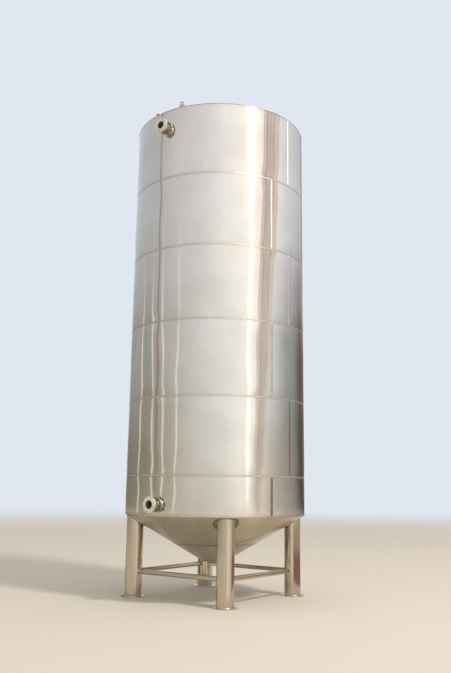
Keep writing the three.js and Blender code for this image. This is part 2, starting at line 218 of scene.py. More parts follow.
def merged(points):
    """The distinct points, which of them each point is, and where each was first met."""
    cells = np.round(points * MERGES_PER_METRE).astype(np.int64)
    _, first, which = np.unique(cells, axis=0, return_index=True, return_inverse=True)
    return points[first], which.ravel(), first


def grid_quads(rows, columns, keep=None):
    """Quads between the neighbouring points of a grid that is numbered row by row."""
    index = np.arange(rows * columns).reshape(rows, columns)
    quads = np.stack([index[:-1, :-1], index[:-1, 1:], index[1:, 1:], index[1:, :-1]], -1)
    return quads.reshape(-1, 4) if keep is None else quads[keep]


def make_mesh(name, sheets, marks=None):
    """One closed mesh from sheets of points, lay coordinates and quads, whose borders meet.

    Points in one place become one, and a quad with two corners in one place becomes a triangle.
    marks is a number for each point, kept as the attribute from_weld.
    """
    starts = np.cumsum([0] + [len(points) for points, _, _ in sheets])
    points = np.concatenate([points for points, _, _ in sheets])
    lay = np.concatenate([lay for _, lay, _ in sheets])
    quads = np.concatenate([quads + start for (_, _, quads), start in zip(sheets, starts)])
    points, which, first = merged(points)
    corners = which[quads]
    keep = corners != np.roll(corners, -1, axis=1)
    whole = keep.sum(1) > 2
    corners, keep, quads = corners[whole], keep[whole], quads[whole]
    sizes = keep.sum(1)
    mesh = bpy.data.meshes.new(name)
    mesh.vertices.add(len(points))
    mesh.vertices.foreach_set("co", points.astype(np.float32).ravel())
    mesh.loops.add(int(sizes.sum()))
    mesh.loops.foreach_set("vertex_index", corners[keep].astype(np.int32))
    mesh.polygons.add(len(sizes))
    mesh.polygons.foreach_set("loop_start", (np.cumsum(sizes) - sizes).astype(np.int32))
    mesh.update(calc_edges=True)
    layer = mesh.uv_layers.new(name="lay")
    layer.uv.foreach_set("vector", lay[quads][keep].astype(np.float32).ravel())
    if marks is not None:
        attribute = mesh.attributes.new("from_weld", "FLOAT", "POINT")
        attribute.data.foreach_set("value", marks[first].astype(np.float32))
    solid = bmesh.new()
    solid.from_mesh(mesh)
    bmesh.ops.recalc_face_normals(solid, faces=solid.faces)
    solid.to_mesh(mesh)
    solid.free()
    mesh.shade_smooth()
    mesh.set_sharp_from_angle(angle=CREASE)
    thing = bpy.data.objects.new(name, mesh)
    scene.collection.objects.link(thing)
    return thing


def floor_mesh():
    """A level square. Its paint fades out before its edge, as a studio floor runs up to a wall."""
    x, y = np.meshgrid([-FLOOR_REACH, FLOOR_REACH], [-FLOOR_REACH, FLOOR_REACH])
    points = np.stack([x, y, 0 * x], -1).reshape(-1, 3).astype(float)
    return make_mesh("floor", [(points, points[:, :2], grid_quads(2, 2))])


floor = floor_mesh()
floor_paint, tree = new_tree("matt_floor_paint")
spot = add(tree, "ShaderNodeTexCoord").outputs["Object"]
matt = add(tree, "ShaderNodeBsdfPrincipled", {
    "Base Color": linear(FLOOR_HEX), "Roughness": 0.8, "Specular IOR Level": 0.2,
})
far = add(tree, "ShaderNodeVectorMath", {0: spot}, operation="LENGTH").outputs["Value"]
faded = mapped(tree, far, *FLOOR_FADE, curve="SMOOTHERSTEP")
clear = add(tree, "ShaderNodeBsdfTransparent")
laid = add(tree, "ShaderNodeMixShader", {0: faded, 1: matt, 2: clear})
add(tree, "ShaderNodeOutputMaterial", {"Surface": laid})
floor.data.materials.append(floor_paint)


def strip_card(name, turn_deg, lean, widths_deg, span_deg, soft, hex_colour, strength, distance):
    """A card on a cylinder round the tank, from one height to another as the lens sees them. It
    turns by lean for each degree of height, has one width at its foot and one at its top, and
    fades out over a soft share of its width at both sides."""
    rise, share = np.linspace(0, 1, CARD_ROWS)[:, None], np.linspace(0, 1, CARD_COLUMNS)[None, :]
    heights = np.radians(span_deg[0] + (span_deg[1] - span_deg[0]) * rise)
    widths = np.radians(widths_deg[0] + (widths_deg[1] - widths_deg[0]) * rise)
    angle = CAMERA_SIDE + math.radians(turn_deg) + lean * heights + (share - 0.5) * widths
    points = polar(distance, angle, CAMERA_HEIGHT + distance * np.tan(heights)).reshape(-1, 3)
    shares = np.stack(np.broadcast_arrays(share, rise), -1).reshape(-1, 2)
    card = make_mesh(name, [(points, shares, grid_quads(CARD_ROWS, CARD_COLUMNS))])
    material, tree = new_tree(name)
    lay = add(tree, "ShaderNodeUVMap", uv_map="lay")
    along = add(tree, "ShaderNodeSeparateXYZ", {"Vector": lay}).outputs
    middle = add(tree, "ShaderNodeMath", {0: along["X"], 1: 0.5}, operation="SUBTRACT")
    off_middle = add(tree, "ShaderNodeMath", {0: middle}, operation="ABSOLUTE")
    sides = mapped(tree, off_middle, 0.5 - soft, 0.5, 1.0, 0.0)
    top = mapped(tree, along["Y"], 1.0 - CARD_TOP_FADE, 1.0, 1.0, 0.0)
    shown = add(tree, "ShaderNodeMath", {0: sides, 1: top}, operation="MULTIPLY")
    clear = add(tree, "ShaderNodeBsdfTransparent")
    glow = add(tree, "ShaderNodeEmission", {"Color": linear(hex_colour), "Strength": strength})
    faded = add(tree, "ShaderNodeMixShader", {0: shown, 1: clear, 2: glow})
    add(tree, "ShaderNodeOutputMaterial", {"Surface": faded})
    material.cycles.emission_sampling = "NONE"
    card.data.materials.append(material)
    card.visible_camera = card.visible_diffuse = card.visible_shadow = False


for number, (name, *values) in enumerate([
    ("key_strip", 39.5, 0.15, (7.5, 11.5), (-1, 65), 0.5, "#FFFCF6", 1.7),
    ("warm_strip_1", -113.5, 0, (3, 3), (-4, 22), 0.4, "#EDE1CC", 1.4),
    ("warm_strip_2", -85, -0.52, (3, 3), (-4, 22), 0.4, "#EDE1CC", 1.5),
    ("warm_strip_3", -68.5, -0.4, (3, 3), (-4, 25), 0.4, "#EDE1CC", 1.42),
    ("warm_strip_4", -51.5, 0, (3, 3), (-4, 25), 0.4, "#E8DCC6", 1.4),
    ("red_brown_line", -78.9, -0.24, (5.6, 1.0), (-1, 60), 0.4, "#A08171", 1.0),
    ("tan_band", 52.1, 0.693, (11.8, 38.8), (-2, 60), 0.05, "#EDE1D8", 1.0),
    ("tan_band_core", 52.75, 0.616, (4.2, 16.6), (-2, 60), 0.15, "#E2D5CB", 1.0),
    ("brown_line_1", 46.5, 0.471, (1.1, 1.8), (-2, 60), 0.3, "#C6B4A7", 1.0),
    ("brown_line_2", 50.7, 0.5, (1.2, 2.1), (-2, 60), 0.3, "#937C6C", 1.0),
    ("brown_line_3", 52.7, 0.6, (1.0, 1.6), (-2, 60), 0.3, "#B8A597", 1.0),
    ("brown_line_4", 55.0, 0.74, (1.2, 2.0), (-2, 60), 0.3, "#997F70", 1.0),
    ("brown_line_5", 57.5, 0.915, (1.1, 1.8), (-2, 60), 0.3, "#C2B0A2", 1.0),
    ("rim_brown_line", 158, 0, (21, 21), (-1, 60), 0.2, "#BD9F93", 1.0),
    ("low_rim_brown_line", 158, 0, (21, 21), (-1, 18), 0.2, "#8A6857", 0.9),
]):
    strip_card(name, *values, CARD_DISTANCE - CARD_STEP * number)
for number, (name, *values) in enumerate([
    ("near_bright_strip", 18.5, 0, (22, 22), (-35.5, -9), 0.5, "#FFFDF8", 1.1),
    ("near_left_panel", -126, 0, (54, 54), (-35.5, -9), 0.4, "#6C6151", 1.0),
    ("near_brown_panel", 79, 0, (74, 74), (-35.5, -9), 0.08, "#BEB09B", 1.0),
    ("near_red_brown_panel", 79, 0, (74, 74), (-35.5, -22.8), 0.08, "#9C766A", 1.0),
]):
    strip_card(name, *values, NEAR_CARD_DISTANCE - NEAR_CARD_STEP * number)

key = bpy.data.objects.new("key_light", bpy.data.lights.new("key_light", "AREA"))
key.data.shape = "DISK"
key.data.size = KEY_SIZE
key.data.energy = KEY_POWER
key.data.color = linear(KEY_HEX)[:3]
key_side = CAMERA_SIDE + math.radians(KEY_TURN)
key_height = math.radians(KEY_HEIGHT_DEG)
key.location = KEY_DISTANCE * Vector(polar(math.cos(key_height), key_side, math.sin(key_height)))
key.rotation_euler = key.location.to_track_quat("Z", "Y").to_euler()
scene.collection.objects.link(key)

# Shell. Stainless plate 5 mm thick, polished round the tank and rolled, stands in six courses of
# two half rounds each, butt-welded to one another. Each plate bulges and dips by a millimetre or
# two, and is drawn in along its welds, which also pucker it a little from place to place.
SHELL_RADIUS = 1.5
SHELL_WALL = 0.005
COURSES = 6
ODD_SEAM = math.radians(-46)
EVEN_SEAM = math.radians(-62)
NOZZLE_SIDE = math.radians(225)
PIPE_RADIUS = 0.06985
WELD_GAP = 0.0003
PLATE_STEP = 0.036
FIRST_STEPS = (0.004, 0.01, 0.018, 0.03, 0.048, 0.075)
BULGE_SEED = 12
WAVE_COUNT = 6
WAVE_LENGTHS = (0.45, 1.7)
WAVE_SLOPE = 0.003
UPRIGHT_WAVE_COUNT = 4
UPRIGHT_WAVE_WIDTHS = (0.35, 0.95)
UPRIGHT_WAVE_HEIGHTS = (1.1, 2.6)
UPRIGHT_WAVE_SLOPE = 0.004
WAVE_FADE = 0.22
PUCKER_WAVES = 4
PUCKER_COUNTS = (15, 38)
PUCKER_SLOPE = 0.0075
PUCKER_REACH = 0.13
WELD_DIP = 0.0013
WELD_DIP_REACH = 0.07
NOZZLE_FADE = 0.15
NOZZLE_DIP_FADE = 0.05
ROOF_EDGE_HEIGHT = 8.03
HEAD_TOP = 1.33
COURSE_HEIGHT = 1.22
NOZZLE_PAD_RADIUS = 0.114
NOZZLE_HEIGHTS = {1: 7.72, COURSES: 1.485}
HOLE_BLOCK = 0.088
HOLE_RINGS = 4
WELD_TINT = 0.26
WELD_TINT_REACH = (0.004, 0.05)
ROUGHNESS_SWING = 0.14
CLOUD_EDGES = (0.32, 0.68)
GRAIN_EDGES = (0.3, 0.7)
GRAIN_PER_METRE = 2.5
GRAIN_BUMP = {"Strength": 0.05, "Distance": 0.0002}
# Painted sheen streaks: their noise scale per metre down the first lay coordinate, and their share
# of the colour patches.
SHEEN_STREAKS_PER_METRE = 1.4
SHEEN_STREAK_SHARE = 0.6


def lines(stops, step):
    """Values from the first stop to the last, through every stop, no further apart than step."""
    counts = [max(1, math.ceil((high - low) / step)) for low, high in zip(stops, stops[1:])]
    spans = [np.linspace(*span, n + 1)[:-1] for *span, n in zip(stops, stops[1:], counts)]
    return np.append(np.concatenate(spans), stops[-1])


def ease(share):
    """A smooth step from 0 to 1."""
    share = np.clip(share, 0, 1)
    return share * share * (3 - 2 * share)


def blank(grid, holes):
    """A flat blank: the quads of a grid of plane points, with round holes. A hole is a block of
    the grid, first and last row and column, with a centre and a radius. Rings of quads that
    shrink evenly from the block's border to the circle take the block's place."""
    rows, columns = grid.shape[:2]
    keep = np.ones((rows - 1, columns - 1), bool)
    points, quads = [grid.reshape(-1, 2)], []
    for low, high, left, right, centre, radius in holes:
        keep[low:high, left:right] = False
        border = np.concatenate([
            grid[low, left:right], grid[low:high, right],
            grid[high, right:left:-1], grid[high:low:-1, left], grid[low, left:left + 1],
        ])
        spokes = border - centre
        rim = centre + radius * spokes / np.linalg.norm(spokes, axis=1, keepdims=True)
        share = np.linspace(0, 1, HOLE_RINGS)[:, None, None]
        start = sum(len(part) for part in points)
        points.append((border * (1 - share) + rim * share).reshape(-1, 2))
        quads.append(grid_quads(HOLE_RINGS, len(border)) + start)
    quads.append(grid_quads(rows, columns, keep))
    flat, which, _ = merged(np.concatenate(points))
    return flat, which[np.concatenate(quads)]


def plate(flat, quads, place, thickness, lay):
    """A blank given its thickness: place puts plane points at a depth, and walls close the
    borders, which are the edges that only one quad has."""
    sides = np.concatenate([quads[:, pair] for pair in ([0, 1], [1, 2], [2, 3], [3, 0])])
    sides = sides[sides[:, 0] != sides[:, 1]]
    pairs = np.sort(sides, 1)
    _, which, counts = np.unique(pairs, axis=0, return_inverse=True, return_counts=True)
    first, last = sides[counts[which.ravel()] == 1].T
    walls = np.stack([first, first + len(flat), last + len(flat), last], 1)
    points = np.concatenate([place(flat, 0.0), place(flat, thickness)])
    faces = np.concatenate([quads, quads[:, ::-1] + len(flat), walls])
    return points, np.concatenate([lay(flat)] * 2), faces


def fit(piece, material, slot, *nodes):
    """Gives a piece its finish, and says which body it rides on and which nodes it stands for."""
    piece.data.materials.append(material)
    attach(piece, "root")
    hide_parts(*nodes)


def stainless(
    name, pale_hex, dull_hex, roughness, lay_mm, cloud_mm, across=0.0, tint_hex=None, sheen_streak_mm=0,
):
    """Stainless steel 304 whose polishing lines run along the second lay coordinate, so that
    highlights spread across them. pale and dull are its clean and its handled colour, lay_mm is
    the width of a band of lines, drawn coarse enough to show, and cloud_mm that of the patches
    that polishing leaves. tint is the colour that heat and brushing leave beside the welds, and
    sheen_streak_mm the width of painted sheen: paler and duller streaks of colour that run down
    the first coordinate and stand in for reflections stretched along it."""
    material, tree = new_tree(name)
    place = add(tree, "ShaderNodeTexCoord").outputs["Object"]
    lay = add(tree, "ShaderNodeUVMap", uv_map="lay")
    patches = add(tree, "ShaderNodeTexNoise", {
        "Vector": place, "Scale": 1000 / cloud_mm, "Detail": 3.0,
    })
    scale = (1000 / lay_mm, GRAIN_PER_METRE, 1)
    stretched = add(tree, "ShaderNodeMapping", {"Vector": lay, "Scale": scale})
    grain = add(tree, "ShaderNodeTexNoise", {
        "Vector": stretched, "Scale": 1.0, "Detail": 4.0, "Roughness": 0.6,
    })
    # Painted sheen: streaks down the first coordinate are mixed into the colour patches and stand
    # in for stretched reflections.
    if sheen_streak_mm:
        scale = (SHEEN_STREAKS_PER_METRE, 1000 / sheen_streak_mm, 1)
        down = add(tree, "ShaderNodeMapping", {"Vector": lay, "Scale": scale})
        sheen_streaks = add(tree, "ShaderNodeTexNoise", {"Vector": down, "Scale": 1.0, "Detail": 3.0})
        patches = add(tree, "ShaderNodeMix", {0: SHEEN_STREAK_SHARE, 2: patches, 3: sheen_streaks})
    colour = ramp(tree, patches, [*zip(CLOUD_EDGES, (linear(dull_hex), linear(pale_hex)))])
    smooth, coarse = roughness * (1 - ROUGHNESS_SWING), roughness * (1 + ROUGHNESS_SWING)
    rough = mapped(tree, grain, *GRAIN_EDGES, smooth, coarse, "LINEAR")
    if tint_hex:
        from_weld = add(tree, "ShaderNodeAttribute", attribute_name="from_weld").outputs["Fac"]
        near = mapped(tree, from_weld, *WELD_TINT_REACH, WELD_TINT, 0.0)
        colour = add(
            tree, "ShaderNodeMix", {0: near, 6: colour, 7: linear(tint_hex)}, data_type="RGBA",
        ).outputs[2]
    bump = add(tree, "ShaderNodeBump", {"Height": grain, **GRAIN_BUMP})
    spread = add(tree, "ShaderNodeTangent", direction_type="UV_MAP", uv_map="lay")
    metal = add(tree, "ShaderNodeBsdfPrincipled", {
        "Base Color": colour, "Metallic": 1.0, "Roughness": rough, "Anisotropic": across,
        "Normal": bump, "Tangent": spread,
    })
    add(tree, "ShaderNodeOutputMaterial", {"Surface": metal})
    return material


shell_plate = stainless(
    "polished_stainless_shell_plate", "#E5E3DE", "#DAD7D1", 0.12, 5, 700, 0.8, "#B4ADA2",
)
bulges = np.random.default_rng(BULGE_SEED)
ring_heights = [ROOF_EDGE_HEIGHT - COURSE_HEIGHT * course for course in range(1, COURSES)]
ring_heights.append(HEAD_TOP)
pucker_counts = bulges.integers(*PUCKER_COUNTS, (len(ring_heights), PUCKER_WAVES))
pucker_shifts = bulges.uniform(0, 2 * math.pi, pucker_counts.shape)


def puckers(angle, height):
    """How far the waves along the ring welds stand out. Each is a sine round the tank, and they
    fade out above and below their weld."""
    rise = 0.0
    for weld_height, counts, shifts in zip(ring_heights, pucker_counts, pucker_shifts):
        near = np.exp(-((height - weld_height) / PUCKER_REACH) ** 2)
        for count, shift in zip(counts, shifts):
            rise = rise + near * PUCKER_SLOPE * SHELL_RADIUS / count * np.sin(count * angle + shift)
    return rise


def seam_angle(course):
    """Where a course's first upright weld stands. The courses are set to and fro."""
    return ODD_SEAM if course % 2 else EVEN_SEAM


def shell_plate_piece(course, letter):
    """Half a turn of plate. The radius is the shell's, less a dip beside each weld, plus the
    puckers, and plus slanted and upright waves that fade out towards the welds and the nozzle."""
    node = f"shell_course_{course}_plate_{letter}"
    low, high = [corner.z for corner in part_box(node)]
    start = seam_angle(course) + (math.pi if letter == "b" else 0)
    ends = WELD_GAP / 2 / SHELL_RADIUS
    angle_stops, height_stops, holes = [start + ends, start + math.pi - ends], [low, high], []
    has_nozzle = letter == "b" and course in NOZZLE_HEIGHTS
    if has_nozzle:
        height = NOZZLE_HEIGHTS[course]
        half = HOLE_BLOCK / SHELL_RADIUS
        angle_stops[1:1] = [NOZZLE_SIDE - half, NOZZLE_SIDE + half]
        height_stops[1:1] = [height - HOLE_BLOCK, height + HOLE_BLOCK]
    angle_stops[1:1] = [angle_stops[0] + step / SHELL_RADIUS for step in FIRST_STEPS]
    angle_stops[-1:-1] = [angle_stops[-1] - step / SHELL_RADIUS for step in FIRST_STEPS[::-1]]
    height_stops += [low + step for step in FIRST_STEPS] + [high - step for step in FIRST_STEPS]
    arcs = lines(angle_stops, PLATE_STEP / SHELL_RADIUS) * SHELL_RADIUS
    heights = lines(sorted(set(height_stops)), PLATE_STEP)
    grid = np.stack(np.meshgrid(arcs, heights), -1)
    if has_nozzle:
        centre = np.array([NOZZLE_SIDE * SHELL_RADIUS, height])
        block = [
            int(np.argmin(np.abs(values - edge)))
            for values, middle in ((heights, centre[1]), (arcs, centre[0]))
            for edge in (middle - HOLE_BLOCK, middle + HOLE_BLOCK)
        ]
        holes = [(*block, centre, PIPE_RADIUS + WELD_GAP)]
    flat, quads = blank(grid, holes)

    lengths = bulges.uniform(*WAVE_LENGTHS, WAVE_COUNT)
    leans = bulges.uniform(0, math.pi, WAVE_COUNT)
    waves = [
        (math.cos(lean) / length, math.sin(lean) / length, WAVE_SLOPE * length)
        for length, lean in zip(lengths, leans)
    ] + [
        (1 / width, 1 / tall, UPRIGHT_WAVE_SLOPE * width)
        for width, tall in zip(
            bulges.uniform(*UPRIGHT_WAVE_WIDTHS, UPRIGHT_WAVE_COUNT),
            bulges.uniform(*UPRIGHT_WAVE_HEIGHTS, UPRIGHT_WAVE_COUNT)
            * bulges.choice([-1, 1], UPRIGHT_WAVE_COUNT),
        )
    ]
    shifts = bulges.uniform(0, 2 * math.pi, len(waves))

    def to_weld(points):
        across = np.minimum(points[:, 0] - arcs[0], arcs[-1] - points[:, 0])
        return np.minimum(across, np.minimum(points[:, 1] - low, high - points[:, 1]))

    def place(points, depth):
        edge = to_weld(points)
        angle = points[:, 0] / SHELL_RADIUS
        wave = 0.0
        for (round_rate, up_rate, rise), shift in zip(waves, shifts):
            turns = points[:, 0] * round_rate + points[:, 1] * up_rate
            wave = wave + rise / (2 * math.pi) * np.sin(2 * math.pi * turns + shift)
        dip = WELD_DIP * np.exp(-(edge / WELD_DIP_REACH) ** 2)
        bulge = puckers(angle, points[:, 1]) + wave * ease(edge / WAVE_FADE)
        if holes:
            off_nozzle = np.linalg.norm(points - centre, axis=1) - NOZZLE_PAD_RADIUS
            bulge = bulge * ease(off_nozzle / NOZZLE_FADE)
            dip = dip * ease(off_nozzle / NOZZLE_DIP_FADE)
        return polar(SHELL_RADIUS - depth - dip + bulge, angle, points[:, 1])

    sheet = plate(flat, quads, place, SHELL_WALL, lambda points: points[:, ::-1])
    marks = np.tile(to_weld(flat), 2)
    piece = make_mesh(f"shell_plate_{course}{letter}", [sheet], marks)
    fit(piece, shell_plate, "shell_steel", node)


for course in range(1, COURSES + 1):
    for letter in "ab":
        shell_plate_piece(course, letter)

# Shell welds. The plates are joined by one ring weld between courses, one above the bottom head and
# one along the roof's edge, and by two upright welds in each course. The ring welds are brushed
# back almost flush, and the upright ones are left as low, broad ridges of 3 to 4 cm.
SHELL_WELD = (0.026, 0.0006)
SEAM_WELD = (0.03, 0.004)
WIDE_SEAM = (0.042, 0.004)
POLISHED_SEAM = (0.034, 0.0045)
ROOF_WELD = (0.008, 0.0022)
ROOF_WELD_SINK = 0.0012
RING_STEPS = 720
SEAM_STEPS = 90
BEAD_POINTS = 11
BEAD_WAVE = 0.11
BEAD_TIP_STEPS = 2
BEAD_SWING = (0.07, 0.05)


def skin(points):
    """A grid of points as a sheet. Its lay is the mean length along the grid, down and across."""
    down = np.linalg.norm(np.diff(points, axis=0), axis=2).mean(1)
    across = np.linalg.norm(np.diff(points, axis=1), axis=2).mean(0)
    lengths = [np.append(0, np.cumsum(part)) for part in (down, across)]
    lay = np.stack(np.meshgrid(*lengths, indexing="ij"), -1)
    return points.reshape(-1, 3), lay.reshape(-1, 2), grid_quads(*points.shape[:2])


def bead(path, outward, size, closed=True, uneven=1.0):
    """A weld bead: an ellipse, of a size across and in height, half sunk in the metal and carried
    along a path. Its size swings by a tenth on the way if uneven is one, and an open bead ends in
    points."""
    count = len(path)
    along = np.roll(path, -1, 0) - np.roll(path, 1, 0) if closed else np.gradient(path, axis=0)
    outward = outward / np.linalg.norm(outward, axis=1, keepdims=True)
    across = np.cross(along, outward)
    across /= np.linalg.norm(across, axis=1, keepdims=True)
    length = np.linalg.norm(along, axis=1).sum() / 2
    waves = max(3, round(length / BEAD_WAVE))
    step = np.arange(count)
    run = step / count * 2 * math.pi * waves
    swing = 1 + uneven * (BEAD_SWING[0] * np.sin(run) + BEAD_SWING[1] * np.sin(2 * run + 1))
    if not closed:
        swing *= ease(np.minimum(step, step[::-1]) / BEAD_TIP_STEPS)
    around = np.linspace(0, 2 * math.pi, BEAD_POINTS)[:, None, None]
    swing = swing[:, None]
    points = path + across * swing * size[0] / 2 * np.cos(around)
    points = points + outward * swing * size[1] * np.sin(around)
    return skin(np.concatenate([points, points[:, :1]], 1) if closed else points)


def ring(radius, height, steps, slope=0.0):
    """A level ring round the tank's axis, and its outward directions. Slope turns those up."""
    turn = np.linspace(0, 2 * math.pi, steps, endpoint=False)
    return polar(radius, turn, height), polar(1, turn, slope)


weld_metal = stainless("brushed_stainless_weld_metal", "#DAD6CE", "#C8C2B7", 0.36, 4, 60)
blended_weld = stainless("blended_stainless_weld_metal", "#D2CCC2", "#C5BEB3", 0.4, 4, 60)
# Near-white weld metal: a painted highlight on the upright welds of the top two courses.
seam_weld_painted_highlight = stainless("stainless_weld_metal_painted_highlight", "#F8F5EE", "#EEEAE1", 0.5, 3, 60)
# Darker weld metal: painted shade on the upright welds of the fourth course.
seam_weld_painted_shade = stainless("stainless_weld_metal_painted_shade", "#C9C0B3", "#B8AEA0", 0.42, 4, 60)
# Dark weld metal, partly heat stain and partly painted shade. It is used for the roof's rim weld,
# the lowest upright welds, the cone's welds and the pads' welds.
stained_and_shaded_weld = stainless("heat_stained_weld_metal_painted_shade", "#968E80", "#7F7668", 0.3, 4, 60)
dipped = SHELL_RADIUS - WELD_DIP
ring_turn = np.linspace(0, 2 * math.pi, RING_STEPS, endpoint=False)
ring_welds = [
    bead(*ring(dipped + puckers(ring_turn, height), height, RING_STEPS), SHELL_WELD)
    for height in ring_heights
]
fit(make_mesh("shell_ring_welds", ring_welds), blended_weld, "shell_steel")
rim = ring(SHELL_RADIUS - ROOF_WELD_SINK, ROOF_EDGE_HEIGHT, RING_STEPS, slope=0.3)
# The rim weld's dark colour is painted shade.
fit(make_mesh("roof_rim_weld", [bead(*rim, ROOF_WELD)]), stained_and_shaded_weld, "shell_steel")
# The upright welds are one weld metal. Its colour is painted near white as a highlight in the top
# courses and darker as painted shade in the lower ones.
for metal, size, courses in (
    (seam_weld_painted_highlight, POLISHED_SEAM, (1, 2)),
    (weld_metal, SEAM_WELD, (3,)),
    (seam_weld_painted_shade, SEAM_WELD, (4,)),
    (stained_and_shaded_weld, SEAM_WELD, (5,)),
    (stained_and_shaded_weld, WIDE_SEAM, (6,)),
):
    seam_welds = []
    for course in courses:
        low, high = [corner.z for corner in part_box(f"shell_course_{course}_plate_a")]
        climb = np.linspace(low, high, SEAM_STEPS)
        for side in (0, math.pi):
            angle = seam_angle(course) + side
            path = polar(dipped + puckers(angle, climb), angle, climb)
            seam_welds.append(bead(path, polar(1 + 0 * climb, angle, 0), size, closed=False))
    fit(make_mesh(f"shell_seam_welds_from_{courses[0]}", seam_welds), metal, "shell_steel")

# Bottom head. The same plate, rolled to a 30 degree cone with a knuckle and a short straight rim,
# is welded under the shell, with a smaller cone under it and a flat plate at the tip. It is
# polished round the axis, so its sheen runs down the slope, and two slanting seams join its halves.
KNUCKLE_TOP = 1.328
KNUCKLE_RADIUS = 0.025
KNUCKLE_TURN = math.radians(60)
KNUCKLE_POINTS = 9
CONE_PITCH = math.radians(30)
CONE_SLOPE = math.tan(CONE_PITCH)
CONE_STRETCH = 1 / math.cos(CONE_PITCH)
CONE_EDGE_RADIUS = SHELL_RADIUS - KNUCKLE_RADIUS * (1 - math.cos(KNUCKLE_TURN))
CONE_EDGE_HEIGHT = KNUCKLE_TOP - KNUCKLE_RADIUS * math.sin(KNUCKLE_TURN)
CONE_WELD_RADIUS = 0.7
CONE_TIP_RADIUS = 0.215
UPPER_CONE_POINTS = 24
LOWER_CONE_POINTS = 10
CONE_WAVE = 0.0007
CONE_WAVE_FADE = (0.2, 0.15)
CONE_WELD = (0.012, 0.002)
TIP_WELD = (0.012, 0.005)
CONE_SEAM_RADIUS = 0.71
CONE_SEAM_SIDE = math.radians(-100.3)
CONE_SEAM_TURN = math.radians(69)
CONE_SEAM_STEPS = 120
TIP_PLATE_RADIUS = 0.22
TIP_PLATE_THICK = 0.008
CUT_EDGE = 0.001
CORNER_POINTS = 5
CORNER_LIMIT = 0.45
FULL_TURN = np.linspace(0, 2 * math.pi, 97)
FINE_TURN = np.linspace(0, 2 * math.pi, 181)


def cone_height(radius):
    """Height of the cone's outer surface at a distance from the tank's axis."""
    return CONE_EDGE_HEIGHT - (CONE_EDGE_RADIUS - radius) * CONE_SLOPE


def about(origin, direction):
    """A function from coordinates whose third axis is the direction, and whose first axis is level,
    to the world's."""
    along = np.array(direction, float)
    level = np.cross((0, 0, 1), along) if abs(along[2]) < 0.9 else np.array((1.0, 0, 0))
    base = np.stack([level, np.cross(along, level), along])
    return lambda points: points @ base + origin


def turned(profile, place, turn=FULL_TURN):
    """A closed profile of radius and height, the same all round or one for each turn, carried
    round its axis."""
    profile = profile if profile.ndim == 3 else profile[:, None]
    return skin(place(polar(profile[..., 0], turn, profile[..., 1])))


def rounded(corners, radius):
    """A closed profile with rounded corners. Each is a parabola between the points that lie a
    radius from it on its two sides, with one more point at twice that."""
    radius = np.reshape(radius, (-1,) + (1,) * (corners.ndim - 1))
    sides = [np.roll(corners, step, 0) - corners for step in (1, -1)]
    lengths = [np.linalg.norm(side, axis=-1, keepdims=True) for side in sides]
    before, after = [
        [
            corners + side / length * np.minimum(radius * reach, CORNER_LIMIT * length)
            for reach in (1, 2)
        ]
        for side, length in zip(sides, lengths)
    ]
    share = np.linspace(0, 1, CORNER_POINTS).reshape((-1,) + (1,) * corners.ndim)
    curve = (1 - share) ** 2 * before[0] + 2 * share * (1 - share) * corners
    curve = curve + share ** 2 * after[0]
    points = np.concatenate([before[1][None], curve, after[1][None]])
    points = np.moveaxis(points, 0, 1).reshape(-1, *corners.shape[1:])
    return np.concatenate([points, points[:1]])


def box_profile(inner, outer, low, high):
    """The corners of a ring's section."""
    return np.array([(inner, low), (outer, low), (outer, high), (inner, high)])


def turned_piece(name, corners, radius, place, turn=FULL_TURN):
    """A piece whose section, with its corners rounded, is carried round its axis."""
    return make_mesh(name, [turned(rounded(corners, radius), place, turn)])


def knuckle(radius):
    """The knuckle's arc, from upright to the cone's slope."""
    bend = np.linspace(0, KNUCKLE_TURN, KNUCKLE_POINTS)
    middle = SHELL_RADIUS - KNUCKLE_RADIUS
    return np.stack([middle + radius * np.cos(bend), KNUCKLE_TOP - radius * np.sin(bend)], 1)


def cone_dents(radius, turn):
    """Low waves in the rolled cone, none at its welds: two crossing sines of turn and radius."""
    from_edge, from_weld = CONE_EDGE_RADIUS - radius, radius - CONE_WELD_RADIUS
    clear = ease(from_edge / CONE_WAVE_FADE[0]) * ease(from_weld / CONE_WAVE_FADE[1])
    return CONE_WAVE * clear * (np.sin(5 * turn + 9 * radius) + np.sin(8 * turn - 13 * radius + 1))


def from_cone_welds(points):
    """Distance from the nearest of the cone's welds."""
    radius = np.hypot(points[:, 0], points[:, 1])
    turn = np.arctan2(points[:, 1], points[:, 0]) - CONE_SEAM_SIDE
    distances = [np.abs(radius - CONE_WELD_RADIUS), np.abs(points[:, 2] - HEAD_TOP)]
    for half in (0, math.pi):
        part = (turn - half + math.pi / 2) % (2 * math.pi) - math.pi / 2
        off_line = np.abs(radius * np.cos(part / CONE_STRETCH) - CONE_SEAM_RADIUS)
        distances.append(np.where((part > 0) & (part < math.pi / 2), off_line, 1.0))
    return np.min(distances, 0)


# The cone's colour carries painted sheen streaks, 22 mm wide, down its slope.
cone_plate = stainless(
    "satin_stainless_cone_plate", "#E3DCCB", "#CDC4AF", 0.32, 5, 400, 0.6, "#8C8270", 22,
)
